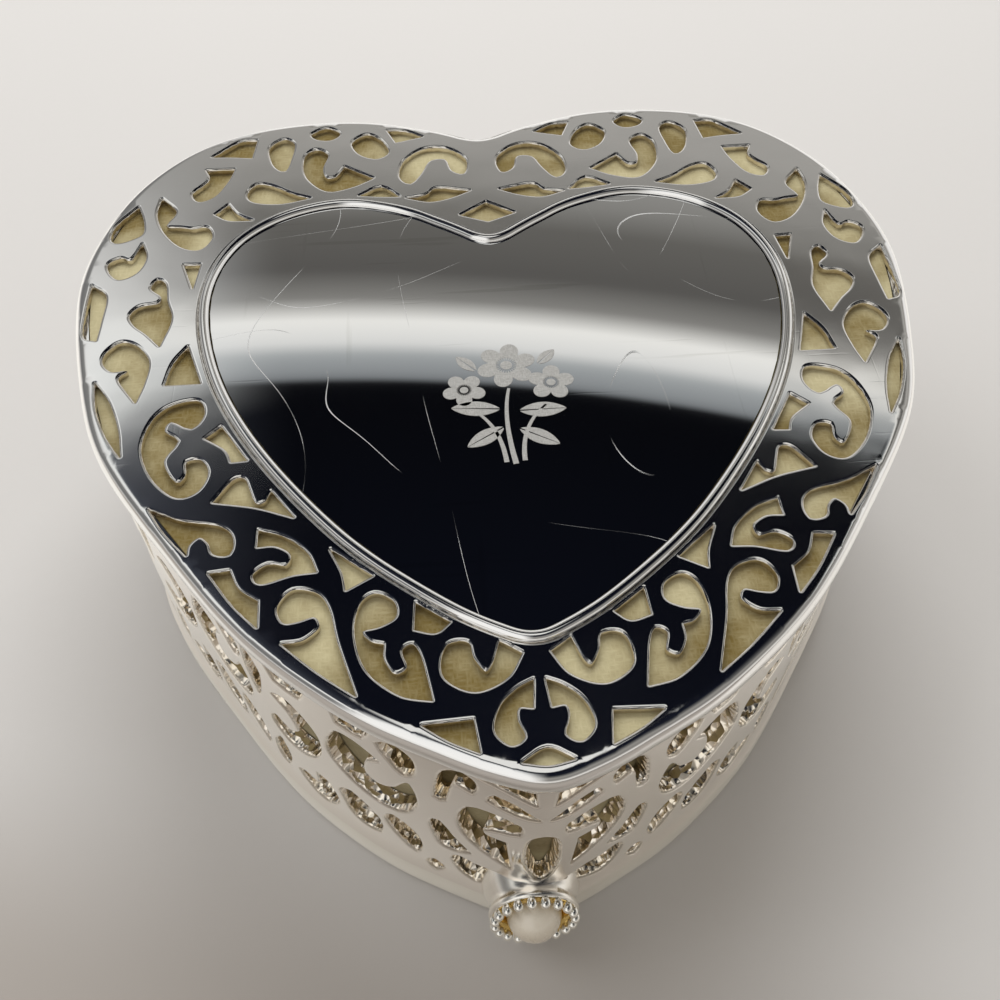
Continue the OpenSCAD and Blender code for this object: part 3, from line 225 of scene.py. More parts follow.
@dataclass
class HeartCurve:
    """A smooth closed outline with its run measured from the tip, in millimetres.

    Attributes:
        points: the samples, anticlockwise, starting at the notch.
    """

    points: np.ndarray
    normals: np.ndarray = field(init=False)
    runs: np.ndarray = field(init=False)
    length: float = field(init=False)

    def __post_init__(self) -> None:
        """Measures the run of each sample from the tip."""
        self.normals = left_normals(self.points)
        steps = np.linalg.norm(np.roll(self.points, -1, axis=0) - self.points, axis=1)
        run = np.concatenate([[0], np.cumsum(steps)])
        self.length = float(run[-1])
        self.runs = run - run[int(np.argmin(self.points[:, 1]))]

    def at(self, run: np.ndarray, inset: np.ndarray) -> np.ndarray:
        """Plane points: p(run) + inset * inward normal, with both read along the samples."""
        wrapped = (run - self.runs[0]) % self.length + self.runs[0]
        rows = np.column_stack([self.points, self.normals])
        rows = np.concatenate([rows, rows[:1]])
        read = np.stack([np.interp(wrapped, self.runs, column) for column in rows.T], axis=1)
        place, normal = read[:, :2], read[:, 2:]
        normal /= np.linalg.norm(normal, axis=1)[:, None]
        return place + inset[:, None] * normal

    def run_of(self, places: np.ndarray) -> np.ndarray:
        """Run of the sample span nearest each plane point."""
        a = self.points
        along = np.roll(a, -1, axis=0) - a
        size = (along**2).sum(axis=1)
        t = np.clip(((places[:, None] - a[None]) * along[None]).sum(axis=2) / size, 0, 1)
        gap = ((places[:, None] - a[None] - t[..., None] * along[None]) ** 2).sum(axis=2)
        best = gap.argmin(axis=1)
        return self.runs[best] + t[np.arange(len(places)), best] * np.sqrt(size[best])


# ---------------------------------------------------------------- meshes


def cad_triangles(node: str) -> tuple[np.ndarray, np.ndarray]:
    """A frame node's merged points in millimetres and its triangles, as rows of point numbers."""
    mesh = bpy.data.objects[node].data
    mesh.calc_loop_triangles()
    places = np.empty(len(mesh.vertices) * 3)
    mesh.vertices.foreach_get("co", places)
    corners = np.empty(len(mesh.loop_triangles) * 3, dtype=np.int32)
    mesh.loop_triangles.foreach_get("vertices", corners)
    rounded = np.round(places.reshape(-1, 3) / MM, 4)
    points, where = np.unique(rounded, axis=0, return_inverse=True)
    triangles = where.reshape(-1)[corners].reshape(-1, 3)
    return points, triangles[(triangles != np.roll(triangles, 1, axis=1)).all(axis=1)]


def boundary_loops(triangles: np.ndarray) -> list[np.ndarray]:
    """Closed loops of point numbers round a patch of triangles."""
    sides = np.concatenate([triangles[:, pair] for pair in ([0, 1], [1, 2], [2, 0])]).astype(np.int64)
    size = int(sides.max()) + 1
    edge = sides[~np.isin(sides[:, 0] * size + sides[:, 1], sides[:, 1] * size + sides[:, 0])]
    follow = dict(zip(edge[:, 0].tolist(), edge[:, 1].tolist()))
    loops = []
    while follow:
        start, here = follow.popitem()
        loop = [start]
        while here != start and here in follow:
            loop.append(here)
            here = follow.pop(here)
        loops.append(np.array(loop))
    return loops


def flat_loops(node: str, level: float) -> list[np.ndarray]:
    """Outlines of a frame node's flat face at a height, in millimetres, longest first."""
    points, triangles = cad_triangles(node)
    flat = (np.abs(points[triangles][:, :, 2] - level) < 1e-3).all(axis=1)
    loops = [points[loop][:, :2] for loop in boundary_loops(triangles[flat])]
    return sorted(loops, key=lambda loop: -abs(signed_area(loop)))


def make_piece(
    name: str,
    points: np.ndarray,
    faces: np.ndarray,
    material: bpy.types.Material,
    edge: Edge = Edge.CRISP,
    marks: np.ndarray | None = None,
) -> bpy.types.Object:
    """Puts points in millimetres and faces into a new object.

    Args:
        name: the piece's name.
        points: rows of points.
        faces: rows of three or four point numbers.
        material: the finish.
        edge: how smooth shading breaks.
        marks: an optional value for each point, kept as the attribute edge_mark.

    Returns:
        The object, linked to the scene.
    """
    mesh = bpy.data.meshes.new(name)
    mesh.vertices.add(len(points))
    mesh.vertices.foreach_set("co", (points * MM).astype(np.float32).ravel())
    mesh.loops.add(faces.size)
    mesh.loops.foreach_set("vertex_index", faces.astype(np.int32).ravel())
    mesh.polygons.add(len(faces))
    mesh.polygons.foreach_set("loop_start", np.arange(0, faces.size, faces.shape[1], dtype=np.int32))
    mesh.update(calc_edges=True)
    mesh.validate()
    if marks is not None:
        layer = mesh.attributes.new("edge_mark", "FLOAT", "POINT")
        layer.data.foreach_set("value", marks.astype(np.float32))
    mesh.materials.append(material)
    piece = bpy.data.objects.new(name, mesh)
    bpy.context.scene.collection.objects.link(piece)
    smooth(piece, edge)
    return piece


def smooth(piece: bpy.types.Object, edge: Edge) -> None:
    """Shades a piece smooth, broken at edges sharper than the given style."""
    piece.data.polygons.foreach_set("use_smooth", np.ones(len(piece.data.polygons), dtype=bool))
    piece.data.set_sharp_from_angle(angle=edge.value)


def mounted(piece: bpy.types.Object, body: str, node: str) -> bpy.types.Object:
    """The piece, riding on a body in place of a frame node."""
    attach(piece, body)
    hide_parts(node)
    return piece


def dressed(name: str, node: str, material: bpy.types.Material, bevel_mm: float, body: str) -> None:
    """Puts a merged copy of a frame node, with fine broken edges, in place of the node.

    Args:
        name: the piece's name.
        node: the frame node.
        material: its finish.
        bevel_mm: width of the broken edge.
        body: the body that it rides on.
    """
    piece = make_piece(name, *cad_triangles(node), material)
    bevel = piece.modifiers.new("broken_edge", "BEVEL")
    bevel.width = bevel_mm * MM
    bevel.segments = 2
    bevel.limit_method = "ANGLE"
    bevel.angle_limit = Edge.CRISP.value
    bevel.harden_normals = True
    bevel.use_clamp_overlap = True
    mounted(piece, body, node)


def redressed(node: str, material: bpy.types.Material) -> None:
    """Gives a frame node that stays in sight its finish."""
    mesh = bpy.data.objects[node].data
    mesh.materials.clear()
    mesh.materials.append(material)


def grid_faces(rows: int, columns: int, wrap_rows: bool, wrap_columns: bool) -> np.ndarray:
    """Four-sided faces of a grid of points stored row by row, whose ends may join."""
    i, j = np.meshgrid(
        np.arange(rows if wrap_rows else rows - 1), np.arange(columns if wrap_columns else columns - 1),
        indexing="ij")
    row, next_row = i * columns, (i + 1) % rows * columns
    after = (j + 1) % columns
    return np.stack([row + j, row + after, next_row + after, next_row + j], axis=-1).reshape(-1, 4)


def swept_ring(curve: HeartCurve, profile: np.ndarray, step: float) -> tuple[np.ndarray, np.ndarray]:
    """Carries a closed profile round a heart: q(run, k) = (p(run) + inset_k * n(run), height_k).

    Args:
        curve: the heart.
        profile: rows of inset and height, anticlockwise seen with the inside to the right.
        step: spacing along the heart.

    Returns:
        The points and faces, facing outwards.
    """
    count, across = int(curve.length / step), len(profile)
    runs = np.linspace(0, curve.length, count, endpoint=False)
    plane = curve.at(np.repeat(runs, across), np.tile(profile[:, 0], count))
    points = np.column_stack([plane, np.tile(profile[:, 1], count)])
    return points, grid_faces(count, across, True, True)


def turned(profile: np.ndarray, sides: int) -> tuple[np.ndarray, np.ndarray]:
    """Turns a profile round the z axis: q(a, k) = (r_k cos a, r_k sin a, z_k).

    Args:
        profile: rows of radius and height, from the bottom pole to the top pole, which lie on the axis.
        sides: number of steps round.

    Returns:
        The points and triangles.
    """
    middle = profile[1:-1]
    radius, height = np.tile(middle[:, 0], sides), np.tile(middle[:, 1], sides)
    turn = np.repeat(np.linspace(0, TAU, sides, endpoint=False), len(middle))
    body = np.column_stack([radius * np.cos(turn), radius * np.sin(turn), height])
    quads = grid_faces(sides, len(middle), True, False)
    first = np.arange(sides) * len(middle)
    last = first + len(middle) - 1
    faces = np.concatenate([
        quads[:, [0, 3, 2]], quads[:, [0, 2, 1]],
        np.column_stack([np.full(sides, len(body)), np.roll(first, -1), first]),
        np.column_stack([np.full(sides, len(body) + 1), last, np.roll(last, -1)])])
    poles = np.array([[0, 0, profile[0, 1]], [0, 0, profile[-1, 1]]])
    return np.concatenate([body, poles]), faces[:, ::-1]


def quarter_round(degrees: list[float] | np.ndarray) -> np.ndarray:
    """Offset and depth of a rounded edge of radius 1: (1 - cos a, 1 - sin a)."""
    angles = np.radians(degrees)
    return np.stack([1 - np.cos(angles), 1 - np.sin(angles)], axis=1)


@dataclass
class CastSheet:
    """A pierced casting laid out flat: rounded edges round each opening, closed by walls and a back.

    Attributes:
        outline: the outer loop, anticlockwise.
        holes: the openings, clockwise.
        fillet: radius of the rounding round an opening.
        thickness: depth of the openings' walls.
        grid: spacing of the points on the plain face.
        rim: rows of inset and depth that follow the outline's edge down and round to the back.
        rim_rings: rows of inset and depth of the rings inside the outline, from the edge inwards.
        reach: the farthest distance from an edge that is measured.
        slack: share of its offset that a ring's point keeps from every edge.
        row: distance between rows of plain points, in grid spacings.
        clear: how near plain points come to rings, in grid spacings.
        back_clear: the same on the back.
        back_every: one in this many plain points is used on the back.
        least_mark: the least mark on the front.
    """

    outline: np.ndarray
    holes: list[np.ndarray]
    fillet: float
    thickness: float
    grid: float
    rim: np.ndarray
    rim_rings: np.ndarray
    reach: float = 3.0
    slack: float = 0.97
    row: float = 0.87
    clear: float = 0.45
    back_clear: float = 0.5
    back_every: int = 7
    least_mark: float = 0.05

    @staticmethod
    def fill(loops: list[np.ndarray], extra: np.ndarray) -> tuple[np.ndarray, np.ndarray]:
        """Triangulates between loops.

        Args:
            loops: the region's edges.
            extra: further points inside the region.

        Returns:
            The points, the loops' first, and the triangles that face up.
        """
        places = np.concatenate([*loops, extra])
        sides, start = [], 0
        for loop in loops:
            here = np.arange(start, start + len(loop))
            sides.append(np.stack([here, np.roll(here, -1)], axis=1))
            start += len(loop)
        result = delaunay_2d_cdt(
            [Vector(p) for p in places.tolist()], np.concatenate(sides).tolist(), [], 0, 1e-7, True)
        found = np.array([p[:] for p in result[0]])
        triangles = np.array(result[2])
        source = np.array([min(old) if old else -1 for old in result[3]])
        crossings = source < 0
        source[crossings] = len(places) + np.arange(crossings.sum())
        triangles = triangles[inside(found[triangles].mean(axis=1), loops)]
        a, b, c = (found[triangles[:, k]] for k in range(3))
        turned_over = cross2(b - a, c - a) < 0
        triangles[turned_over] = triangles[turned_over][:, ::-1]
        return np.concatenate([places, found[crossings]]), source[triangles]

    def face(self, edges: list[np.ndarray]) -> tuple[np.ndarray, np.ndarray, np.ndarray, np.ndarray]:
        """Builds the front: rings r(1 - cos a), r(1 - sin a) along each edge and a plain grid between them.

        Args:
            edges: the outline and the openings.

        Returns:
            The points, the edges' first, their depths, the triangles, and the points of the plain grid.
        """
        fixed = np.concatenate(edges)
        rings = self.fillet * np.concatenate([quarter_round([0, 28, 58, 90]), [[1.3, 0]]])
        parts = []
        for loop in edges:
            places, directions = fanned(loop)
            for offset, low in (self.rim_rings if loop is self.outline else rings)[1:]:
                levels = np.full((len(places), 2), (offset, low))
                parts.append(np.column_stack([places + offset * directions, levels]))
        extra = np.concatenate(parts)
        room = nearest(extra[:, :2], fixed, self.reach)
        extra = extra[(room > extra[:, 2] * self.slack) & inside(extra[:, :2], edges)]
        lo, hi = self.outline.min(axis=0), self.outline.max(axis=0)
        xs, ys = np.arange(lo[0], hi[0], self.grid), np.arange(lo[1], hi[1], self.grid * self.row)
        gx, gy = np.meshgrid(xs, ys)
        gx = gx + (np.arange(len(ys)) % 2)[:, None] * self.grid / 2
        plain = np.column_stack([gx.ravel(), gy.ravel()])
        plain = plain[inside(plain, edges)]
        taken = np.concatenate([fixed, extra[:, :2]])
        plain = plain[nearest(plain, taken, self.reach) > self.grid * self.clear]
        points, triangles = self.fill(edges, np.concatenate([extra[:, :2], plain]))
        depth = np.full(len(points), self.fillet)
        depth[: len(self.outline)] = self.rim_rings[0, 1]
        depth[len(fixed) : len(taken)] = extra[:, 3]
        depth[len(taken) : len(taken) + len(plain)] = 0
        return points, depth, triangles, plain

    def build(self) -> tuple[np.ndarray, np.ndarray, np.ndarray, np.ndarray]:
        """Builds the closed sheet.

        Returns:
            Plane points, their depths, triangles, and each point's mark: 0 on a wall or back, else
            its distance from an opening in fillets.
        """
        edges = [self.outline, *self.holes]
        points, depth, triangles, plain = self.face(edges)
        openings = np.concatenate(edges)[len(self.outline) :]
        marks = np.maximum(nearest(points, openings, self.reach) / self.fillet, self.least_mark)
        layers, faces = [(points, depth, marks)], [triangles]
        back_loops, back_index = [], []
        start, total = 0, len(points)
        for loop in edges:
            is_rim = loop is self.outline
            normal = left_normals(loop)
            own = upper = np.arange(start, start + len(loop))
            start += len(loop)
            for inset, low in self.rim if is_rim else [(0, self.thickness)]:
                lower = np.arange(total, total + len(loop))
                total += len(loop)
                mark = marks[own] if is_rim else np.zeros(len(loop))
                layers.append((loop + inset * normal, np.full(len(loop), low), mark))
                after_up, after_low = np.roll(upper, -1), np.roll(lower, -1)
                faces.append(np.column_stack([upper, lower, after_low]))
                faces.append(np.column_stack([upper, after_low, after_up]))
                upper = lower
            back_loops.append(layers[-1][0])
            back_index.append(upper)
        coarse = plain[:: self.back_every]
        coarse = coarse[inside(coarse, back_loops)]
        room = nearest(coarse, np.concatenate(back_loops), self.reach)
        coarse = coarse[room > self.grid * self.back_clear]
        back_points, back = self.fill(back_loops, coarse)
        inner = back_points[start:]
        number = np.concatenate([*back_index, np.arange(total, total + len(inner))])
        layers.append((inner, np.full(len(inner), self.thickness), np.zeros(len(inner))))
        faces.append(number[back][:, ::-1])
        points, depth, marks = (np.concatenate(part) for part in zip(*layers))
        return points, depth, np.concatenate(faces), marks


# ---------------------------------------------------------------- shader trees and shared effects


class Bench:
    """A shader node tree under construction, with helpers that add nodes and return their outputs."""

    def __init__(self, tree: bpy.types.NodeTree) -> None:
        """Keeps the tree."""
        self.tree = tree

    def node(self, kind: str, **settings: object) -> bpy.types.Node:
        """Adds a node, named without its prefix ShaderNode, and sets its properties."""
        node = self.tree.nodes.new(f"ShaderNode{kind}")
        for title, value in settings.items():
            setattr(node, title, value)
        return node

    def put(self, value: Socket | float | tuple[float, ...], target: Socket) -> None:
        """Links an output to an input, or sets the input's own value."""
        if isinstance(value, Socket):
            self.tree.links.new(value, target)
        else:
            target.default_value = value

    def place(self) -> Socket:
        """The place on the piece, in Object coordinates."""
        return self.node("TexCoord").outputs["Object"]

    def maths(self, operation: str, *terms: Socket | float) -> Socket:
        """The result of a Math node on the given terms."""
        node = self.node("Math", operation=operation)
        for term, target in zip(terms, node.inputs):
            self.put(term, target)
        return node.outputs[0]

    def vector(self, operation: str, *terms: Socket | Place) -> Socket:
        """The result of a Vector Math node on the given terms."""
        node = self.node("VectorMath", operation=operation)
        for term, target in zip(terms, node.inputs):
            self.put(term, target)
        return node.outputs["Value" if operation == "DOT_PRODUCT" else "Vector"]

    def split(self, vector: Socket) -> bpy.types.bpy_prop_collection:
        """The X, Y and Z outputs of a vector."""
        node = self.node("SeparateXYZ")
        self.put(vector, node.inputs[0])
        return node.outputs

    def ranged(
        self, value: Socket, low: float, high: float, bottom: float = 0, top: Socket | float = 1,
        **settings: object,
    ) -> Socket:
        """Maps low..high to bottom..top, clamped, with the given settings of the Map Range node."""
        node = self.node("MapRange", **settings)
        titles = ("Value", "From Min", "From Max", "To Min", "To Max")
        for title, given in zip(titles, (value, low, high, bottom, top)):
            self.put(given, node.inputs[title])
        return node.outputs["Result"]

    def level(self, mask: Socket, low: float, high: float) -> Socket:
        """A number that goes from low to high with a mask."""
        return self.ranged(mask, 0, 1, low, high)

    def blend(self, mask: Socket, low: Socket | Colour, high: Socket | Colour) -> Socket:
        """A colour that goes from low to high with a mask."""
        mix = self.node("Mix", data_type="RGBA")
        for title, given in (("A", low), ("B", high)):
            self.put(given if isinstance(given, Socket) else (*given, 1), mix.inputs[title])
        self.put(mask, mix.inputs["Factor"])
        return mix.outputs["Result"]

    def faded(
        self, place: Socket, ends: Point, first: Socket | Colour, second: Socket | Colour
    ) -> Socket:
        """A colour that goes smoothly from the first to the second as place goes between the ends."""
        return self.blend(self.ranged(place, *ends, interpolation_type="SMOOTHSTEP"), first, second)

    def ramp(self, place: Socket, stops: list[tuple[float, Colour]]) -> Socket:
        """A colour read from stops along a place from 0 to 1."""
        node = self.node("ValToRGB")
        elements = node.color_ramp.elements
        while len(elements) < len(stops):
            elements.new(0.5)
        for element, (at, colour) in zip(elements, stops):
            element.position = at
            element.color = (*colour, 1)
        self.put(place, node.inputs["Fac"])
        return node.outputs["Color"]


class Effect(Bench):
    """A shader node group under construction."""

    def __init__(self, name: str, **inputs: float) -> None:
        """Makes the group with its number inputs and their defaults."""
        super().__init__(bpy.data.node_groups.new(name, "ShaderNodeTree"))
        for title, value in inputs.items():
            socket = self.tree.interface.new_socket(title, in_out="INPUT", socket_type="NodeSocketFloat")
            socket.default_value = value
        self.start = self.tree.nodes.new("NodeGroupInput").outputs

    def noise(self, stretch: Place, detail: float) -> Socket:
        """Noise on Object coordinates, stretched, at the group's Scale."""
        mapping = self.node("Mapping")
        self.put(self.place(), mapping.inputs["Vector"])
        self.put(stretch, mapping.inputs["Scale"])
        texture = self.node("TexNoise")
        self.put(mapping.outputs["Vector"], texture.inputs["Vector"])
        self.put(self.start["Scale"], texture.inputs["Scale"])
        self.put(detail, texture.inputs["Detail"])
        return texture.outputs["Fac"]

    def finished(self, **values: Socket) -> bpy.types.NodeTree:
        """Gives each value an output of the group, and returns the group."""
        for title in values:
            self.tree.interface.new_socket(title, in_out="OUTPUT", socket_type="NodeSocketFloat")
        end = self.tree.nodes.new("NodeGroupOutput")
        for title, value in values.items():
            self.put(value, end.inputs[title])
        return self.tree


def polish_effect() -> bpy.types.NodeTree:
    """Handling marks on polished metal: masks of Lines and soft Smear, and the lines' Height."""
    effect = Effect("polish_marks", Scale=900, Amount=1)
    amount = effect.start["Amount"]
    lines = effect.maths(
        "MAXIMUM", effect.ranged(effect.noise((0.06, 1, 1), 3), 0.66, 0.72, 0, amount),
        effect.ranged(effect.noise((1, 0.05, 0.7), 3), 0.67, 0.73, 0, amount))
    smear = effect.ranged(effect.noise((0.03, 0.04, 0.05), 2), 0.35, 0.7, 0, amount)
    return effect.finished(Lines=lines, Smear=smear, Height=effect.maths("MULTIPLY", lines, -1))


def casting_effect() -> bpy.types.NodeTree:
    """A polished casting's slow Wave height, a mask of its low places that carries tarnish together with
    painted shade, and their Facet height.

    Its input Edge is 0 deep in an opening and 1 on the face.
    """
    effect = Effect("casting_skin", Scale=120, Edge=1, Amount=1)
    edge = effect.start["Edge"]
    cells = effect.node("TexVoronoi")
    effect.put(820, cells.inputs["Scale"])
    effect.put(effect.place(), cells.inputs["Vector"])
    facet = effect.maths("MULTIPLY", cells.outputs["Distance"], effect.ranged(edge, 0.5, 0.0))
    patch = effect.ranged(effect.noise((2.6, 2.6, 2.6), 5), 0.35, 0.75)
    spread = effect.maths("MULTIPLY_ADD", patch, 0.65, 0.35)
    # Tarnish together with painted shade: strongest where the edge mark is low, deep in an opening.
    tarnish_and_shade = effect.maths("MULTIPLY", effect.ranged(edge, 0.9, 0.0), spread)
    tarnish_and_shade = effect.maths("MULTIPLY", tarnish_and_shade, effect.start["Amount"])
    return effect.finished(Wave=effect.noise((1, 1, 1), 1.5), Tarnish=tarnish_and_shade, Facet=facet)


def hairline_effect() -> bpy.types.NodeTree:
    """A Hair mask of long curved scratches: level lines of slow noise, broken up by a second noise."""
    effect = Effect("hairline_scratches", Scale=42, Width=0.0006)
    masks = []
    for stretch, height in (((1.0, 0.55, 1.0), 0.5), ((0.6, 1.3, 1.0), 0.56)):
        off = effect.maths("ABSOLUTE", effect.maths("SUBTRACT", effect.noise(stretch, 0), height))
        masks.append(effect.maths("LESS_THAN", off, effect.start["Width"]))
    patch = effect.ranged(effect.noise((2.2, 2.2, 2.2), 1), 0.44, 0.6)
    return effect.finished(Hair=effect.maths("MULTIPLY", effect.maths("MAXIMUM", *masks), patch))


def fibre_effect() -> bpy.types.NodeTree:
    """Short crossing fibres of cloth, velvet and felt: a Fibre mask, a slow Shade mask and a Height."""
    effect = Effect("cloth_fibres", Scale=4000, Depth=1)
    crossing = effect.maths("MAXIMUM", effect.noise((0.25, 1, 1), 2), effect.noise((1, 0.25, 1), 2))
    fibre = effect.ranged(crossing, 0.4, 0.75)
    shade = effect.ranged(effect.noise((0.02, 0.02, 0.02), 3), 0.40, 0.61)
    height = effect.maths("MULTIPLY", fibre, effect.start["Depth"])
    return effect.finished(Fibre=fibre, Shade=shade, Height=height)


@dataclass(frozen=True)
class Effects:
    """The shared shader groups."""

    polish: bpy.types.NodeTree
    casting: bpy.types.NodeTree
    fibres: bpy.types.NodeTree
    hairlines: bpy.types.NodeTree


class Paint(Bench):
    """One material's node tree, with its Principled shader."""

    def __init__(self, name: str, metallic: float, colour: Colour, roughness: float) -> None:
        """Makes the material and sets its even values on the shader's own sockets."""
        self.material = bpy.data.materials.new(name)
        self.material.use_nodes = True
        self.material.diffuse_color = (*colour, 1)
        super().__init__(self.material.node_tree)
        self.shader = self.tree.nodes["Principled BSDF"]
        self.set("Metallic", metallic)
        self.set("Base Color", (*colour, 1))
        self.set("Roughness", roughness)

    def set(self, title: str, value: Socket | float | tuple[float, ...]) -> None:
        """Sets or links one of the shader's inputs."""
        self.put(value, self.shader.inputs[title])

    def effect(self, group: bpy.types.NodeTree, **values: Socket | float) -> bpy.types.bpy_prop_collection:
        """Places a shared group with this material's own values, and returns its outputs."""
        node = self.node("Group", node_tree=group)
        for title, value in values.items():
            self.put(value, node.inputs[title])
        return node.outputs

    def bump(self, height: Socket, depth_m: float, under: Socket | None = None) -> Socket:
        """A normal bent by a height of 0 to 1, over an optional normal below it."""
        node = self.node("Bump")
        self.put(1, node.inputs["Strength"])
        self.put(depth_m, node.inputs["Distance"])
        self.put(height, node.inputs["Height"])
        if under is not None:
            self.put(under, node.inputs["Normal"])
        return node.outputs["Normal"]


# ---------------------------------------------------------------- finishes


@dataclass(frozen=True)
class SilverPlate:
    """Polished silver plate over a casting, warm and dull in its openings: tarnish where cloths don't reach,
    with painted shade and a painted warm reflection of the lining.
    """

    name: str = "silver_plate"
    bright: Colour = (0.90, 0.89, 0.875)
    # Colour of the openings' low places: tarnish with painted shade and a painted warm reflection of the
    # lining.
    tarnish_and_shade: Colour = (0.66, 0.56, 0.40)
    roughness: float = 0.085
    wave_m: float = 4.5e-5
    facet_m: float = 0.0
    marked: bool = True

    def build(self, effects: Effects) -> bpy.types.Material:
        """Builds the material."""
        paint = Paint(self.name, 1, self.bright, self.roughness)
        values = {"Scale": 95, "Amount": 0.85 if self.marked else 0.25}
        if self.marked:
            values["Edge"] = paint.node("Attribute", attribute_name="edge_mark").outputs["Fac"]
        skin = paint.effect(effects.casting, **values)
        marks = paint.effect(effects.polish, Scale=1500, Amount=1)
        # Painted shade and reflection over real tarnish: the colour turns warm and dark deep in the
        # openings.
        paint.set("Base Color", paint.blend(skin["Tarnish"], self.bright, self.tarnish_and_shade))
        dull = paint.level(skin["Tarnish"], self.roughness * 0.8, self.roughness + 0.12)
        paint.set("Roughness", paint.maths("ADD", dull, paint.level(marks["Smear"], 0, 0.05)))
        waved = paint.bump(skin["Wave"], self.wave_m)
        if self.facet_m > 0:
            waved = paint.bump(skin["Facet"], self.facet_m, waved)
        paint.set("Normal", paint.bump(marks["Height"], 6e-7, waved))
        return paint.material


@dataclass(frozen=True)
class MirrorPlate:
    """Mirror-polished plaque with hairlines and faint smears."""

    name: str = "mirror_plate"
    colour: Colour = (0.90, 0.90, 0.90)
    scratched: Colour = (0.82, 0.82, 0.81)

    def build(self, effects: Effects) -> bpy.types.Material:
        """Builds the material."""
        paint = Paint(self.name, 1, self.colour, 0.03)
        marks = paint.effect(effects.polish, Scale=520, Amount=1)
        hair = paint.effect(effects.hairlines)["Hair"]
        smeared = paint.level(marks["Smear"], 0.02, 0.035)
        paint.set("Roughness", paint.maths("ADD", smeared, paint.level(hair, 0, 0.5)))
        paint.set("Metallic", paint.level(hair, 1, 0.7))
        paint.set("Base Color", paint.blend(marks["Lines"], self.colour, self.scratched))
        paint.set("Normal", paint.bump(marks["Height"], 2.0e-7))
        return paint.material


@dataclass(frozen=True)
class FrostedSilver:
    """Etched silver of the engraved spray: matt, with small glints."""

    name: str = "frosted_silver"
    colour: Colour = (0.56, 0.555, 0.54)
    dark: Colour = (0.38, 0.375, 0.36)

    def build(self, effects: Effects) -> bpy.types.Material:
        """Builds the material."""
        paint = Paint(self.name, 0.4, self.colour, 0.5)
        grain = paint.effect(effects.fibres, Scale=7000, Depth=1)
        paint.set("Base Color", paint.blend(grain["Fibre"], self.dark, self.colour))
        paint.set("Roughness", paint.level(grain["Fibre"], 0.42, 0.6))
        paint.set("Normal", paint.bump(grain["Height"], 3e-5))
        return paint.material


@dataclass(frozen=True)
class Cloth:
    """Cloth, velvet or felt: two near colours, fine fibres and a soft sheen."""

    name: str
    dark: Colour
    light: Colour
    sheen: float = 0.3
    weave: float = 0.6
    scale: float = 3500
    depth_m: float = 4e-5

    def build(self, effects: Effects) -> bpy.types.Material:
        """Builds the material."""
        paint = Paint(self.name, 0, self.light, 0.88)
        fibres = paint.effect(effects.fibres, Scale=self.scale, Depth=1)
        shade = paint.level(fibres["Shade"], 0, 1 - self.weave)
        mask = paint.maths("MULTIPLY_ADD", fibres["Fibre"], self.weave, shade)
        paint.set("Base Color", paint.blend(mask, self.dark, self.light))
        paint.set("Normal", paint.bump(fibres["Height"], self.depth_m))
        paint.set("Sheen Weight", self.sheen)
        paint.set("Sheen Roughness", 0.4)
        return paint.material


@dataclass(frozen=True)
class WorkedMetal:
    """Metal of the movement and fastenings, with tool lines and faint stains."""

    name: str
    colour: Colour
    stain: Colour
    roughness: float
    line_m: float = 1.2e-6

    def build(self, effects: Effects) -> bpy.types.Material:
        """Builds the material."""
        paint = Paint(self.name, 1, self.colour, self.roughness)
        marks = paint.effect(effects.polish, Scale=2600, Amount=1)
        skin = paint.effect(effects.casting, Scale=260, Edge=0.45, Amount=0.9)
        paint.set("Base Color", paint.blend(skin["Tarnish"], self.colour, self.stain))
        paint.set("Roughness", paint.level(marks["Smear"], self.roughness * 0.8, self.roughness * 1.3))
        paint.set("Normal", paint.bump(marks["Height"], self.line_m))
        return paint.material


@dataclass(frozen=True)
class PearlGlaze:
    """Nacre: a warm white body under a clear coat, with painted shade that darkens it towards its edges."""

    name: str = "pearl"
    body: Colour = (0.78, 0.68, 0.55)
    middle: Colour = (0.90, 0.86, 0.76)
    # Painted shade at the pearl's rim.
    rim: Colour = (0.60, 0.50, 0.36)
    cloud: Colour = (0.82, 0.76, 0.66)

    def build(self, effects: Effects) -> bpy.types.Material:
        """Builds the material."""
        paint = Paint(self.name, 0, self.body, 0.3)
        facing = paint.node("LayerWeight")
        paint.put(0.35, facing.inputs["Blend"])
        # Painted shade: the colour darkens from the middle to the rim as the surface turns away from the
        # view.
        nacre_with_rim_shade = paint.blend(facing.outputs["Facing"], self.middle, self.rim)
        skin = paint.effect(effects.casting, Scale=330, Edge=0.2, Amount=0.7)
        paint.set("Base Color", paint.blend(skin["Tarnish"], nacre_with_rim_shade, self.cloud))
        paint.set("Roughness", paint.level(skin["Tarnish"], 0.24, 0.36))
        paint.set("Normal", paint.bump(skin["Wave"], 4e-6))
        paint.set("Coat Weight", 0.8)
        paint.set("Coat Roughness", 0.06)
        return paint.material


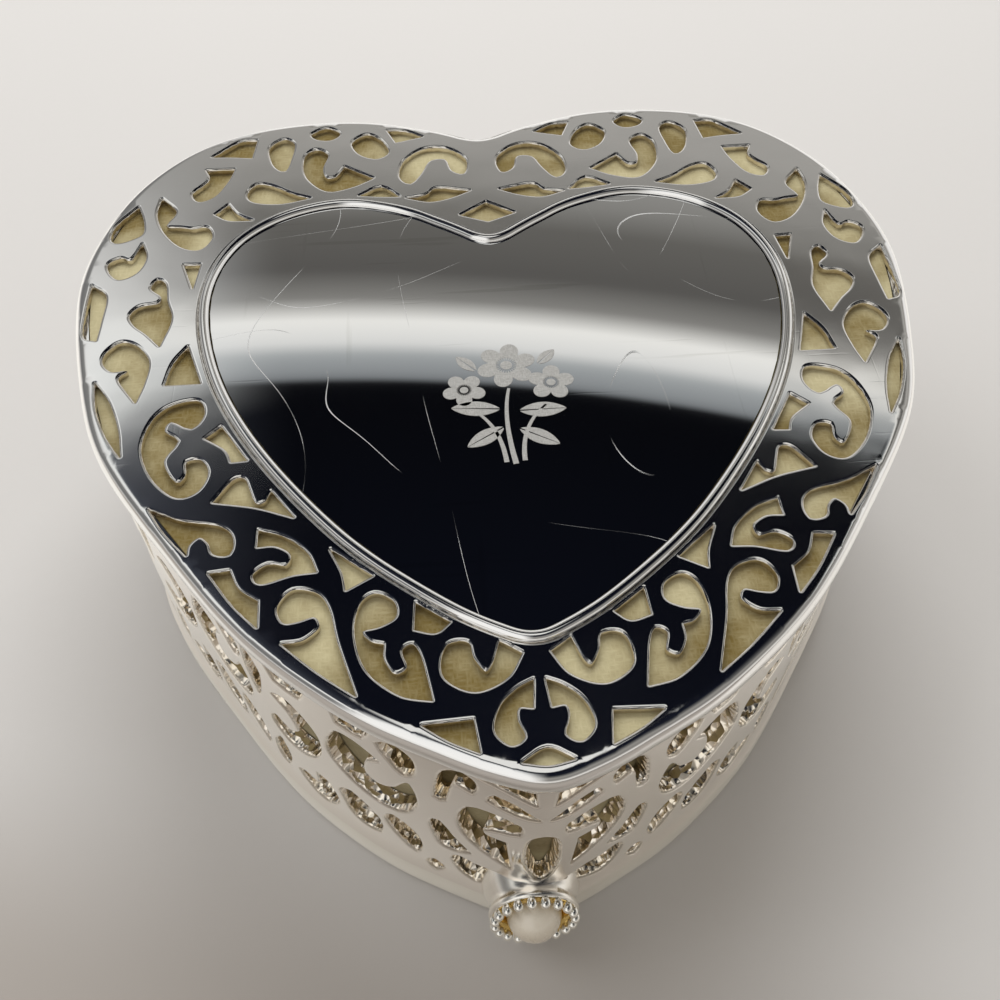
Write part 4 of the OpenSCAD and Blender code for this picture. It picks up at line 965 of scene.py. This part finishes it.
class Finishes:
    """Every finish of the box, built once."""

    def __init__(self) -> None:
        """Builds the shared effects and the materials."""
        effects = Effects(polish_effect(), casting_effect(), fibre_effect(), hairline_effect())
        self.silver = SilverPlate(facet_m=1.5e-4).build(effects)
        # The walls' tarnish colour also carries painted shade and a painted warm reflection of the lining.
        self.wall_silver = SilverPlate(
            "silver_warm", (0.93, 0.885, 0.83), (0.90, 0.78, 0.58), 0.1, facet_m=6.5e-4).build(effects)
        # Its cream tint is a painted warm reflection of the table, set for the base band; the milled beads
        # share it.
        self.band_silver = SilverPlate(
            "silver_cream", (0.93, 0.905, 0.84), roughness=0.14, wave_m=2e-5, marked=False).build(effects)
        self.satin_silver = SilverPlate(
            "silver_satin", (0.93, 0.89, 0.82), roughness=0.26, wave_m=3e-5, marked=False).build(effects)
        self.plain_silver = SilverPlate(
            "silver_plain", roughness=0.07, wave_m=2e-5, marked=False).build(effects)
        self.mirror = MirrorPlate().build(effects)
        self.frosted = FrostedSilver().build(effects)
        self.lining = Cloth(
            "lining_cloth", (0.15, 0.105, 0.027), (0.48, 0.43, 0.265), 0.15, 0.22,
            depth_m=1.2e-5).build(effects)
        self.velvet = Cloth(
            "velvet", (0.20, 0.165, 0.08), (0.37, 0.32, 0.185), 0.8, depth_m=9e-5).build(effects)
        self.baize = Cloth(
            "baize", (0.03, 0.07, 0.045), (0.06, 0.12, 0.08), 0.4, depth_m=8e-5).build(effects)
        self.pearl = PearlGlaze().build(effects)
        self.gilt = WorkedMetal("gilt", (0.86, 0.62, 0.22), (0.60, 0.38, 0.10), 0.16).build(effects)
        self.brass = WorkedMetal("brass", (0.80, 0.60, 0.27), (0.45, 0.28, 0.10), 0.2).build(effects)
        self.steel = WorkedMetal("steel", (0.62, 0.62, 0.64), (0.36, 0.34, 0.32), 0.24).build(effects)
        self.zinc = WorkedMetal(
            "cast_zinc", (0.60, 0.60, 0.62), (0.40, 0.40, 0.40), 0.4, 4e-6).build(effects)


# ---------------------------------------------------------------- the box


@dataclass
class LidCasting:
    """The pierced lid with its rounded rim, the bead round the plaque and the hinge leaf."""

    finishes: Finishes
    fillet: float = 0.3
    plate: float = 0.9
    rim_radius: float = 1.4
    rim_width: float = 1.6
    rim_height: float = 2.6
    grid: float = 0.95
    step: float = 0.42
    bead_width: float = 1.3
    bead_rise: float = 0.6
    bead_sink: float = 0.25

    def build(self) -> None:
        """Builds the lid's castings."""
        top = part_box("lid_frame")[1][2] / MM
        loops = flat_loops("lid_frame", top)
        outline = oriented(smooth_loop(loops[0], self.step, corner_deg=80), True)
        plaque = oriented(smooth_loop(loops[1], self.step, corner_deg=50), False)
        holes = [oriented(smooth_loop(loop, self.step), False) for loop in loops[2:]]
        rounding = self.rim_radius * quarter_round(np.linspace(0, 90, 7))
        under = self.rim_height
        rim = np.array([
            [0, under - 0.35], [0.1, under - 0.1], [0.35, under], [self.rim_width, under],
            [self.rim_width, self.plate]])
        rim_rings = np.concatenate([rounding, [[self.rim_radius * 1.15, 0]]])
        sheet = CastSheet(outline, [plaque, *holes], self.fillet, self.plate, self.grid, rim, rim_rings)
        flat, depth, faces, marks = sheet.build()
        points = np.column_stack([flat, top - depth])
        frame = make_piece("lid_casting", points, faces, self.finishes.silver, Edge.SOFT, marks)
        mounted(frame, "lid", "lid_frame")
        self.bead(oriented(plaque, True), top)
        dressed("hinge_lid_leaf_piece", "hinge_lid_leaf", self.finishes.plain_silver, 0.12, "lid")
        LOG.info("lid casting: %d openings, %d triangles; bead; hinge leaf", len(holes), len(faces))

    def bead(self, loop: np.ndarray, top: float) -> None:
        """The raised polished bead: a half-round profile carried round the plaque."""
        angles = np.linspace(0, math.pi, 15)
        half = self.bead_width / 2
        crown = np.column_stack([
            half - half * np.cos(angles),
            top - self.bead_sink + (self.bead_sink + self.bead_rise) * np.sin(angles) ** 0.9])
        profile = np.concatenate([crown, [[self.bead_width, top - self.plate], [0, top - self.plate]]])
        points, faces = swept_ring(HeartCurve(loop), profile[::-1], 0.5)
        bead = make_piece("plaque_bead", points, faces, self.finishes.plain_silver, Edge.SOFT)
        mounted(bead, "lid", "plaque_rim")


def petal_loop(centre: Point, size: float, petals: int, turn: float) -> np.ndarray:
    """Outline of a flower head: r(a) = size (0.56 + 0.44 |cos(petals (a - turn) / 2)|^0.7)."""
    a = np.linspace(0, TAU, petals * 18, endpoint=False)
    r = size * (0.56 + 0.44 * np.abs(np.cos(petals * (a - turn) / 2)) ** 0.7)
    return np.column_stack([centre[0] + r * np.cos(a), centre[1] + r * np.sin(a)])


def eye_loop(centre: Point, radius: float) -> np.ndarray:
    """A small circle of 20 points."""
    a = np.linspace(0, TAU, 20, endpoint=False)
    return centre + radius * np.column_stack([np.cos(a), np.sin(a)])


def leaf_loops(root: Point, length: float, width: float, heading: float) -> list[np.ndarray]:
    """The two halves of a leaf, parted by its rib: v(t) = +-(rib + width/2 sin(pi t)^0.8), t along it."""
    t = np.linspace(0, 1, 16)
    rib = 0.07 * (1 - t)
    swell = width / 2 * np.sin(math.pi * t) ** 0.8
    c, s = math.cos(heading), math.sin(heading)
    halves = []
    for side in (1, -1):
        inner = np.column_stack([length * t, side * (rib + 0.02)])
        outer = np.column_stack([length * t, side * (rib + 0.06 + swell)])[::-1]
        x, y = np.concatenate([inner, outer]).T
        halves.append(np.column_stack([root[0] + c * x - s * y, root[1] + s * x + c * y]))
    return halves


def stem_loop(a: Point, b: Point, c: Point, width: float) -> np.ndarray:
    """A tapering strip along the parabola (1-t)^2 a + 2t(1-t) b + t^2 c."""
    t = np.linspace(0, 1, 18)[:, None]
    line = (1 - t) ** 2 * np.array(a) + 2 * t * (1 - t) * np.array(b) + t**2 * np.array(c)
    along = np.gradient(line, axis=0)
    side = np.column_stack([-along[:, 1], along[:, 0]]) / np.linalg.norm(along, axis=1)[:, None]
    half = width / 2 * (1 - 0.45 * t)
    return np.concatenate([line + half * side, (line - half * side)[::-1]])


@dataclass
class Plaque:
    """The mirror plaque and the frosted spray of flowers on it."""

    finishes: Finishes
    centre: Point = (0.0, -4.0)
    lift: float = 0.035
    stagger: float = 0.004

    @staticmethod
    def shapes() -> list[list[np.ndarray]]:
        """The spray's outlines, each followed by its openings."""
        heads = [((0.2, 5.6), 3.5, 6, 0.3), ((-4.9, 2.0), 2.5, 5, 0.9), ((5.1, 2.5), 2.7, 5, 0.2)]
        leaves = [
            ((-1.1, -1.2), 5.4, 2.0, 3.05), ((1.2, -1.6), 5.2, 2.0, 0.0), ((-0.9, -4.0), 4.8, 1.8, 3.7),
            ((1.0, -4.3), 4.8, 1.8, -0.55), ((-3.4, 5.0), 3.2, 1.4, 2.3), ((3.9, 5.6), 3.0, 1.3, 0.8)]
        stems = [
            ((0.1, -9.3), (-0.9, -2.5), (0.2, 1.9), 0.62), ((-0.9, -9.0), (-1.2, -3.6), (-4.0, -1.3), 0.55),
            ((1.1, -8.9), (1.0, -3.8), (4.2, -0.9), 0.55)]
        flowers = [
            [petal_loop(place, size, petals, turn), petal_loop(place, size * 0.36, 24, turn)[::3]]
            for place, size, petals, turn in heads]
        eyes = [[eye_loop(place, 0.20 * size)] for place, size, _, _ in heads]
        halves = [[half] for leaf in leaves for half in leaf_loops(*leaf)]
        return [*flowers, *eyes, *halves, *([stem_loop(*stem)] for stem in stems)]

    def build(self) -> None:
        """Builds the plaque's pieces."""
        redressed("plaque", self.finishes.mirror)
        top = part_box("plaque")[1][2] / MM
        parts, faces, total = [], [], 0
        rim, rim_rings = np.array([[0, self.lift]]), np.array([[0, 0.02], [0.03, 0.0]])
        shapes = self.shapes()
        for k, (outer, *inner) in enumerate(shapes):
            outer = oriented(outer, True) + self.centre
            inner = [oriented(loop, False) + self.centre for loop in inner]
            sheet = CastSheet(outer, inner, 0.03, self.lift, 0.7, rim, rim_rings)
            flat, depth, triangles, _ = sheet.build()
            parts.append(np.column_stack([flat, top + self.lift + self.stagger * (k % 3) - depth]))
            faces.append(triangles + total)
            total += len(flat)
        spray = make_piece(
            "engraved_spray", np.concatenate(parts), np.concatenate(faces), self.finishes.frosted)
        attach(spray, "lid")
        LOG.info("plaque and spray: %d shapes", len(shapes))


@dataclass
class WallCasting:
    """The pierced wall, its fold to the plain base band, and the band."""

    finishes: Finishes
    fillet: float = 0.42
    thickness: float = 2.0
    inset: float = 0.8
    band_inset: float = 0.3
    fold: float = 2.6
    lip: float = 0.35
    lip_height: float = 0.6
    grid: float = 1.15
    step: float = 0.5
    board_edge: float = 4.1
    board_depth: float = 2.0
    ledge_edge: float = 6.7
    ledge_top: float = 8.8
    seat_edge: float = 2.9
    on_line: float = 0.05
    least_facing: float = 0.8
    least_height: float = 0.3

    def openings(self, curve: HeartCurve, high: float) -> list[np.ndarray]:
        """The wall's openings as clockwise loops of run and height, read from the frame's wall.

        Args:
            curve: the wall's outer line.
            high: height of the wall's top.

        Returns:
            The loops.
        """
        points, triangles = cad_triangles("body_shell")
        corners = points[triangles]
        normal = np.cross(corners[:, 1] - corners[:, 0], corners[:, 2] - corners[:, 0])
        normal /= np.linalg.norm(normal, axis=1)[:, None] + 1e-15
        upright = np.flatnonzero(np.abs(normal[:, 2]) < 0.05)
        coarse = HeartCurve(oriented(flat_loops("body_shell", high)[0], True))
        centres = corners[upright].mean(axis=1)[:, :2]
        runs = coarse.run_of(centres)
        line = coarse.at(runs, np.zeros(len(runs)))
        out = line - coarse.at(runs, np.ones(len(runs)))
        away = np.linalg.norm(centres - line, axis=1)
        facing = (normal[upright][:, :2] * out).sum(axis=1)
        loops = []
        for loop in boundary_loops(triangles[upright[(away < self.on_line) & (facing > self.least_facing)]]):
            here = points[loop]
            run = coarse.run_of(here[:, :2]) * curve.length / coarse.length
            if len(loop) < 3 or np.ptp(run) > curve.length / 3 or np.ptp(here[:, 2]) < self.least_height:
                continue
            loops.append(oriented(smooth_loop(np.column_stack([run, here[:, 2]]), self.step), False))
        return loops

    def build(self) -> None:
        """Builds the wall and the band."""
        low, high = (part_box("body_shell")[k][2] / MM for k in (0, 1))
        ring = flat_loops("body_shell", high)[0]
        curve = HeartCurve(oriented(smooth_loop(ring, self.step, corner_deg=80), True))
        holes = self.openings(curve, high)
        first, last = curve.runs[0], curve.runs[0] + curve.length
        runs = np.linspace(first, last, int(curve.length) + 1)
        upward = np.linspace(low, high, 24)[1:-1]
        outline = np.concatenate([
            np.column_stack([runs, np.full(len(runs), low)]),
            np.column_stack([np.full(len(upward), last), upward]),
            np.column_stack([runs[::-1], np.full(len(runs), high)]),
            np.column_stack([np.full(len(upward), first), upward[::-1]])])
        rim, rim_rings = np.array([[0, self.thickness]]), np.array([[0, 0], [0.3, 0]])
        sheet = CastSheet(outline, holes, self.fillet, self.thickness, self.grid, rim, rim_rings)
        flat, depth, faces, marks = sheet.build()
        for end in (first, last):
            faces = faces[~(np.abs(flat[faces][:, :, 0] - end) < 1e-6).all(axis=1)]
        front = depth < self.thickness - 0.01
        foot = 1 - np.clip((flat[:, 1] - low) / self.fold, 0, 1)
        flare = (self.inset - self.band_inset) * foot**2 * front
        lip = self.lip * np.clip((flat[:, 1] - high) / self.lip_height + 1, 0, 1) ** 2 * front
        points = np.column_stack([curve.at(flat[:, 0], depth - flare + lip), flat[:, 1]])
        wall = make_piece("wall_casting", points, faces, self.finishes.wall_silver, Edge.SOFT, marks)
        self.close_seam(wall)
        mounted(wall, "box", "body_shell")
        self.band(curve, low)
        LOG.info("wall: %d openings, %d triangles; band", len(holes), len(faces))

    @staticmethod
    def close_seam(wall: bpy.types.Object) -> None:
        """Joins the two ends of the flat layout where they meet at the notch."""
        work = bmesh.new()
        work.from_mesh(wall.data)
        bmesh.ops.remove_doubles(work, verts=work.verts, dist=0.004 * MM)
        work.to_mesh(wall.data)
        work.free()
        smooth(wall, Edge.SOFT)

    def band(self, curve: HeartCurve, low: float) -> None:
        """The plain base band: a rounded-foot profile carried round the wall's line."""
        face = self.band_inset - self.inset
        board, ledge, seat = (
            edge - self.inset for edge in (self.board_edge, self.ledge_edge, self.seat_edge))
        profile = np.array([
            [face, low], [face, 1.1], [face + 0.08, 0.65], [face + 0.3, 0.28], [face + 0.65, 0.06],
            [face + 1.1, 0], [board, 0], [board, self.board_depth], [ledge, self.board_depth],
            [ledge, self.ledge_top], [seat, self.ledge_top], [seat, low], [face + 0.7, low],
            [face + 0.5, low + 0.5], [face + 0.28, low + 0.5]])
        points, faces = swept_ring(curve, profile, 0.8)
        mounted(make_piece("base_band", points, faces, self.finishes.band_silver), "box", "base_rim")


@dataclass
class PearlMount:
    """The pearl at the tip with its collar, gold seat and ring of milled beads."""

    finishes: Finishes
    collar_back: float = 5.85
    collar_front: float = 5.1
    pearl_radius: float = 3.1
    ring_radius: float = 4.5
    bead_size: Place = (0.60, 0.62, 0.70)
    beads: int = 19
    tilt_deg: float = 7.0

    def piece(
        self, name: str, mesh: tuple[np.ndarray, np.ndarray], material: bpy.types.Material, node: str
    ) -> bpy.types.Object:
        """Adds one piece of the mount, turned from the mount's own axis to its place at the tip.

        Args:
            name: the piece's name.
            mesh: its points and faces about the mount's axis.
            material: its finish.
            node: the frame node that it replaces.

        Returns:
            The piece.
        """
        points, faces = mesh
        lo, hi = (np.array(end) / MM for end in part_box("prong_ring"))
        basis = np.array(Matrix.Rotation(math.radians(90 - self.tilt_deg), 3, "X"))
        points = points @ basis.T + (lo + hi) / 2 - basis @ np.array([0, 0, 0.15])
        return mounted(make_piece(name, points, faces, material, Edge.SOFT), "box", node)

    def build(self) -> None:
        """Builds the mount."""
        back, front = self.collar_back, self.collar_front
        collar = np.array([
            [0, -5.2], [back - 0.1, -5.2], [back - 0.22, -4.2], [back - 0.5, -3.2], [back - 0.85, -2.3],
            [back - 1.0, -1.8], [front - 0.1, -1.35], [front, -1.1], [front - 0.05, -0.8],
            [front - 0.2, -0.6], [front - 0.6, -0.5], [4.05, -0.62], [3.9, -1.2], [3.85, -1.85], [0, -1.87]])
        self.piece(
            "pearl_collar_piece", turned(collar, sides=96), self.finishes.satin_silver, "pearl_collar")
        seat = np.array([[0, -2.45], [3.8, -2.45], [3.8, -1.8], [3.3, -1.72], [2.6, -1.78], [0, -1.8]])
        self.piece("pearl_seat_piece", turned(seat, sides=64), self.finishes.brass, "pearl_seat")
        polar = np.linspace(-0.36 * math.pi, math.pi / 2, 40)
        ball = np.column_stack([self.pearl_radius * np.cos(polar), self.pearl_radius * np.sin(polar) - 0.8])
        ball[-1, 0] = 0
        ball = np.concatenate([[[0, ball[0, 1]]], ball])
        self.piece("pearl_ball", turned(ball, sides=72), self.finishes.pearl, "pearl")
        self.milled_ring()
        LOG.info("pearl mount: %d beads", self.beads)

    def milled_ring(self) -> None:
        """The ring of beads: ellipsoids (a u, b v, c w) set round a low gilt collet."""
        height = np.linspace(-math.pi / 2, math.pi / 2, 9)
        oval = np.column_stack([np.cos(height), np.sin(height)])
        oval[[0, -1], 0] = 0
        ball, ball_faces = turned(oval, sides=14)
        ball = ball * np.array(self.bead_size)
        turns = np.linspace(0, TAU, self.beads, endpoint=False)
        c, s = np.cos(turns)[:, None], np.sin(turns)[:, None]
        x = c * (self.ring_radius + ball[:, 0]) - s * ball[:, 1]
        y = s * (self.ring_radius + ball[:, 0]) + c * ball[:, 1]
        z = np.broadcast_to(ball[:, 2] - 0.05, x.shape)
        beads = np.stack([x, y, z], axis=-1).reshape(-1, 3)
        numbers = np.arange(self.beads)[:, None, None] * len(ball) + ball_faces
        collet = np.array([
            [0, -1.7], [3.9, -1.7], [4.8, -0.75], [4.75, -0.45], [4.1, -0.3], [3.75, -0.5], [3.6, -1.5],
            [0, -1.55]])
        ring, ring_faces = turned(collet, sides=72)
        faces = np.concatenate([numbers.reshape(-1, 3), ring_faces + len(beads)])
        mesh = (np.concatenate([beads, ring]), faces)
        piece = self.piece("milled_beads", mesh, self.finishes.band_silver, "prong_ring")
        piece.data.materials.append(self.finishes.gilt)
        gilt = np.arange(len(faces)) >= numbers.size // 3
        piece.data.polygons.foreach_set("material_index", gilt.astype(np.int32))


@dataclass
class SoftLinings:
    """Velvet pads, the covered boards round the compartment and the cloth behind the piercing."""

    finishes: Finishes
    roll: float = 0.85
    swell: float = 0.35
    fade: float = 7.0
    quilt: float = 0.05
    step: float = 0.8
    grid: float = 1.6

    def pad(self, name: str, node: str, body: str, face_up: bool) -> None:
        """A stuffed pad: face(d) = roll corner + swell (1 - e^(-d / fade)), d mm in from its edge.

        Args:
            name: the piece's name.
            node: the frame node that it replaces.
            body: the body that it rides on.
            face_up: whether the crowned side looks up.
        """
        lo, hi = (end[2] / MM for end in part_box(node))
        thick = hi - lo
        loop = oriented(smooth_loop(flat_loops(node, hi)[0], self.step, corner_deg=60), True)
        edge = (self.roll + self.swell) * quarter_round([0, 20, 42, 65, 90])
        rings = np.concatenate([edge, [[2.6, 0], [4.5, 0], [7, 0]]])
        sheet = CastSheet(loop, [], self.roll, thick, self.grid, np.array([[0, thick]]), rings, reach=12)
        flat, depth, faces, _ = sheet.build()
        inward = nearest(flat, loop, 40)
        crown = self.swell * (np.exp(-inward / self.fade) - 1)
        quilt = self.quilt * np.sin(flat[:, 0] * 0.9 + 1) * np.sin(flat[:, 1] * 0.8)
        face = -np.minimum(depth, thick) * 0.9 - crown - self.swell * 0.6 + quilt * (inward > 1)
        lift = np.where(depth < thick - 0.01, face, -depth)
        height = hi + lift if face_up else lo - lift
        faces = faces if face_up else faces[:, ::-1]
        piece = make_piece(name, np.column_stack([flat, height]), faces, self.finishes.velvet, Edge.SOFT)
        mounted(piece, body, node)

    def build(self) -> None:
        """Builds the linings."""
        self.pad("lid_pad_piece", "lid_pad", "lid", False)
        self.pad("compartment_pad_piece", "compartment_pad", "box", True)
        for node, body, cloth in [
            ("divider", "box", self.finishes.velvet), ("movement_cover", "box", self.finishes.velvet),
            ("wall_lining", "box", self.finishes.lining), ("lid_lining", "lid", self.finishes.lining),
            ("underside_board", "box", self.finishes.baize)]:
            dressed(f"{node}_piece", node, cloth, 0.18, body)
        LOG.info("linings: two pads and five covered boards")


@dataclass
class Movement:
    """The cylinder movement, its key and every fastening, with broken edges."""

    finishes: Finishes

    def build(self) -> None:
        """Dresses the frame's nodes of the movement."""
        silver, brass, steel, zinc = (
            self.finishes.plain_silver, self.finishes.brass, self.finishes.steel, self.finishes.zinc)
        plan = {
            "box": [
                (zinc, 0.12, "bedplate housing_bridge cylinder_bearing comb_rest second_bearing "
                    "governor_bracket lever_post spring_housing"),
                (steel, 0.1, "floor_plate floor_screws underside_screws bedplate_screws bridge_screws "
                    "bearing_screws comb_screws governor_screws hinge_pin"),
                (steel, 0.03, "comb mainspring"), (brass, 0.08, "stop_guide"),
                (silver, 0.12, "hinge_body_leaf")],
            "cylinder": [
                (brass, 0.05, "cylinder_pinion cylinder_gear"), (steel, 0.08, "cylinder_arbor"),
                (brass, 0.1, "tune_cylinder")],
            "great_wheel_set": [(brass, 0.04, "great_wheel"), (steel, 0.05, "click")],
            "winding_set": [(steel, 0.05, "ratchet_wheel"), (steel, 0.12, "winding_arbor winding_key")],
            "second_set": [(brass, 0.03, "worm_wheel"), (steel, 0.03, "second_arbor")],
            "governor_set": [(brass, 0.06, "governor_fan")],
            "stop_pin": [(steel, 0.12, "stop_pin")],
            "stop_lever": [(steel, 0.06, "stop_lever")]}
        for body, rows in plan.items():
            for material, bevel, nodes in rows:
                for node in nodes.split():
                    dressed(f"{node}_piece", node, material, bevel, body)
        for node in ("cylinder_pins", "governor_worm"):
            redressed(node, steel)
        LOG.info("movement: %d bodies dressed", len(plan))


# ---------------------------------------------------------------- the studio


@dataclass(frozen=True)
class Lamp:
    """A square lamp that looks at the box and isn't seen by polish.

    Attributes:
        name: the lamp's name.
        place: where it hangs, in metres.
        size: its side in metres.
        power: its power in watts.
        colour: its colour.
    """

    name: str
    place: Place
    size: float
    power: float
    colour: Colour

    def hang(self) -> None:
        """Adds the lamp to the scene."""
        data = bpy.data.lights.new(self.name, "AREA")
        data.size = self.size
        data.energy = self.power
        data.color = self.colour
        lamp = bpy.data.objects.new(self.name, data)
        lamp.location = self.place
        lamp.rotation_mode = "QUATERNION"
        lamp.rotation_quaternion = (-Vector(self.place)).to_track_quat("-Z", "Y")
        lamp.visible_glossy = False
        bpy.context.scene.collection.objects.link(lamp)


@dataclass
class Studio:
    """A pale table, soft lamps, a light tent that only polish sees, and the camera."""

    table: Colour = (0.555, 0.541, 0.530)
    # Colour of the painted shadow on the near left of the table.
    table_painted_shadow: Colour = (0.37, 0.34, 0.315)
    table_seen_in_polish: Colour = (0.78, 0.765, 0.74)
    room: Colour = (0.50, 0.465, 0.42)
    backdrop: Colour = (0.70, 0.69, 0.67)
    lamps: tuple[Lamp, ...] = (
        Lamp("key_lamp", (0.08, 0.54, 0.60), 0.55, 5.6, (0.97, 0.99, 1.0)),
        Lamp("fill_lamp", (-0.65, 0.30, 0.75), 0.7, 3.8, (0.98, 0.99, 1.0)))
    tent_radius: float = 3.0
    table_half: float = 4.0
    eye: Place = (-7.2185, -85.153, 128.343)
    right: Place = (0.996985, -0.077590, -0.000537)
    down: Place = (-0.061694, -0.788499, -0.611934)
    forward: Place = (0.047056, 0.610122, -0.790909)
    lens: float = 37.8

    @staticmethod
    def tent_light() -> Paint:
        """The tent's light: colours by height, one ramp for each side of the box, and a bright top."""
        paint = Paint("tent_light", 0, (0, 0, 0), 1)
        paint.tree.nodes.remove(paint.shader)
        dark, zenith = (0.003, 0.004, 0.010), (0.80, 0.80, 0.78)
        crown = [(0.957, dark), (0.967, zenith), (1.0, zenith)]
        place = paint.place()
        way = paint.split(paint.vector("NORMALIZE", place))
        level, spread = paint.node("CombineXYZ"), paint.split(place)
        paint.put(paint.vector("DOT_PRODUCT", place, (0.75, 0.19, 0)), level.inputs["X"])
        paint.put(spread["Y"], level.inputs["Y"])
        paint.put(spread["Z"], level.inputs["Z"])
        flatter = paint.split(paint.vector("NORMALIZE", level.outputs[0]))
        behind = paint.ramp(flatter["Z"], [
            (0.0, (0.95, 0.94, 0.92)), (0.30, (0.85, 0.84, 0.82)), (0.45, (0.25, 0.24, 0.22)),
            (0.51, (0.41, 0.40, 0.38)), (0.535, (0.38, 0.37, 0.35)), (0.585, (0.24, 0.235, 0.22)),
            (0.605, (0.13, 0.125, 0.115)), (0.640, (0.10, 0.096, 0.09)), (0.661, (0.24, 0.235, 0.22)),
            (0.676, (0.88, 0.87, 0.83)), (0.691, (0.74, 0.74, 0.72)), (0.700, (0.36, 0.38, 0.385)),
            (0.7145, (0.24, 0.255, 0.265)), (0.7175, (0.0024, 0.0026, 0.0036)),
            (0.957, (0.004, 0.005, 0.010)), *crown[1:]])
        before = paint.ramp(way["Z"], [
            (0.0, (0.80, 0.79, 0.77)), (0.30, (0.98, 0.97, 0.95)), (0.84, (0.95, 0.95, 0.94)),
            (0.90, (0.75, 0.76, 0.76)), (0.935, (0.02, 0.024, 0.036)), *crown])
        before_right = paint.ramp(way["Z"], [
            (0.0, (0.80, 0.79, 0.77)), (0.14, (0.70, 0.68, 0.64)), (0.30, (0.22, 0.21, 0.20)),
            (0.55, (0.30, 0.29, 0.27)), (0.72, (0.10, 0.10, 0.10)), (0.82, (0.01, 0.012, 0.02)), *crown])
        left = paint.ramp(way["Z"], [
            (0.0, (0.75, 0.74, 0.72)), (0.10, (0.50, 0.49, 0.48)), (0.25, (0.16, 0.16, 0.16)),
            (0.52, (0.22, 0.22, 0.215)), (0.60, (0.75, 0.75, 0.74)), (0.69, (0.88, 0.90, 0.89)),
            (0.725, (0.05, 0.055, 0.07)), *crown])
        front = paint.faded(way["X"], (-0.28, 0.06), before, before_right)
        round_about = paint.faded(way["Y"], (0.15, -0.15), behind, front)
        leftness = paint.maths("SUBTRACT", paint.maths("MINIMUM", way["Y"], 0), way["X"])
        glow = paint.node("Emission")
        paint.put(paint.faded(leftness, (0.14, 0.36), round_about, left), glow.inputs["Color"])
        paint.put(glow.outputs[0], paint.tree.nodes["Material Output"].inputs["Surface"])
        return paint

    def tent(self) -> None:
        """The tent that only polish sees: a ball r (cos v cos u, cos v sin u, sin v), open at the bottom."""
        u = np.linspace(0, TAU, 64, endpoint=False)
        v = np.linspace(-0.2 * math.pi, math.pi / 2, 34)[:-1]
        uu, vv = (grid.ravel() for grid in np.meshgrid(u, v, indexing="ij"))
        radius = self.tent_radius / MM
        points = radius * np.column_stack([np.cos(vv) * np.cos(uu), np.cos(vv) * np.sin(uu), np.sin(vv)])
        quads = grid_faces(len(u), len(v), True, False)
        ends = np.arange(len(u)) * len(v) + len(v) - 1
        cap = np.column_stack([ends, np.roll(ends, -1), np.full(len(u), len(points))])
        faces = np.concatenate([quads[:, [0, 1, 2]], quads[:, [0, 2, 3]], cap])
        points = np.concatenate([points, [[0, 0, radius]]])
        tent = make_piece("light_tent", points, faces, self.tent_light().material, Edge.SOFT)
        for ray in ("camera", "diffuse", "shadow", "transmission", "volume_scatter"):
            setattr(tent, f"visible_{ray}", False)

    def floor(self) -> None:
        """The table top, a wide sheet with a faint grain, darkened towards its near left corner by a painted
        shadow.
        """
        paint = Paint("table_top", 0, self.table, 0.6)
        place = paint.place()
        noise = paint.node("TexNoise")
        paint.put(700, noise.inputs["Scale"])
        paint.put(place, noise.inputs["Vector"])
        grained = paint.blend(noise.outputs["Fac"], tuple(c * 0.985 for c in self.table), self.table)
        polish = paint.node("LightPath").outputs["Is Glossy Ray"]
        shown = paint.blend(polish, grained, self.table_seen_in_polish)
        # Painted shadow: the colour darkens towards the front and left of the box, in reflections too.
        near = paint.vector("DOT_PRODUCT", place, (-0.3, -0.95, 0))
        paint.set("Base Color", paint.faded(near, (0.038, 0.070), shown, self.table_painted_shadow))
        side = np.linspace(-self.table_half, self.table_half, 5) / MM
        x, y = (grid.ravel() for grid in np.meshgrid(side, side, indexing="ij"))
        points = np.column_stack([x, y, np.zeros_like(x)])
        faces = grid_faces(len(side), len(side), False, False)[:, ::-1]
        make_piece("table_top", points, faces, paint.material)

    def camera(self) -> None:
        """The camera over the box's tip."""
        data = bpy.data.cameras.new("camera")
        data.sensor_width = 36
        data.lens = self.lens
        data.clip_start, data.clip_end = 0.005, 50
        camera = bpy.data.objects.new("camera", data)
        axes = Matrix((self.right, [-v for v in self.down], [-v for v in self.forward]))
        axes = axes.transposed().to_4x4()
        camera.matrix_world = Matrix.Translation(Vector(self.eye) * MM) @ axes
        bpy.context.scene.collection.objects.link(camera)
        bpy.context.scene.camera = camera

    def build(self) -> None:
        """Sets the studio up."""
        self.tent()
        self.floor()
        for lamp in self.lamps:
            lamp.hang()
        world = bpy.data.worlds.new("room")
        world.use_nodes = True
        bench = Bench(world.node_tree)
        seen = bench.node("LightPath").outputs["Is Camera Ray"]
        background = bench.tree.nodes["Background"]
        bench.put(bench.blend(seen, self.room, self.backdrop), background.inputs["Color"])
        bpy.context.scene.world = world
        world.cycles_visibility.glossy = False
        bpy.context.scene.view_settings.view_transform = "Standard"
        self.camera()
        LOG.info("studio set up")


def main() -> None:
    """Builds the box round its frame."""
    logging.basicConfig(level=logging.INFO, format="%(relativeCreated)6d ms %(name)s: %(message)s")
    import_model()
    finishes = Finishes()
    for sub_assembly in (LidCasting, Plaque, WallCasting, PearlMount, SoftLinings, Movement):
        sub_assembly(finishes).build()
    Studio().build()


if __name__ == "__main__":
    main()
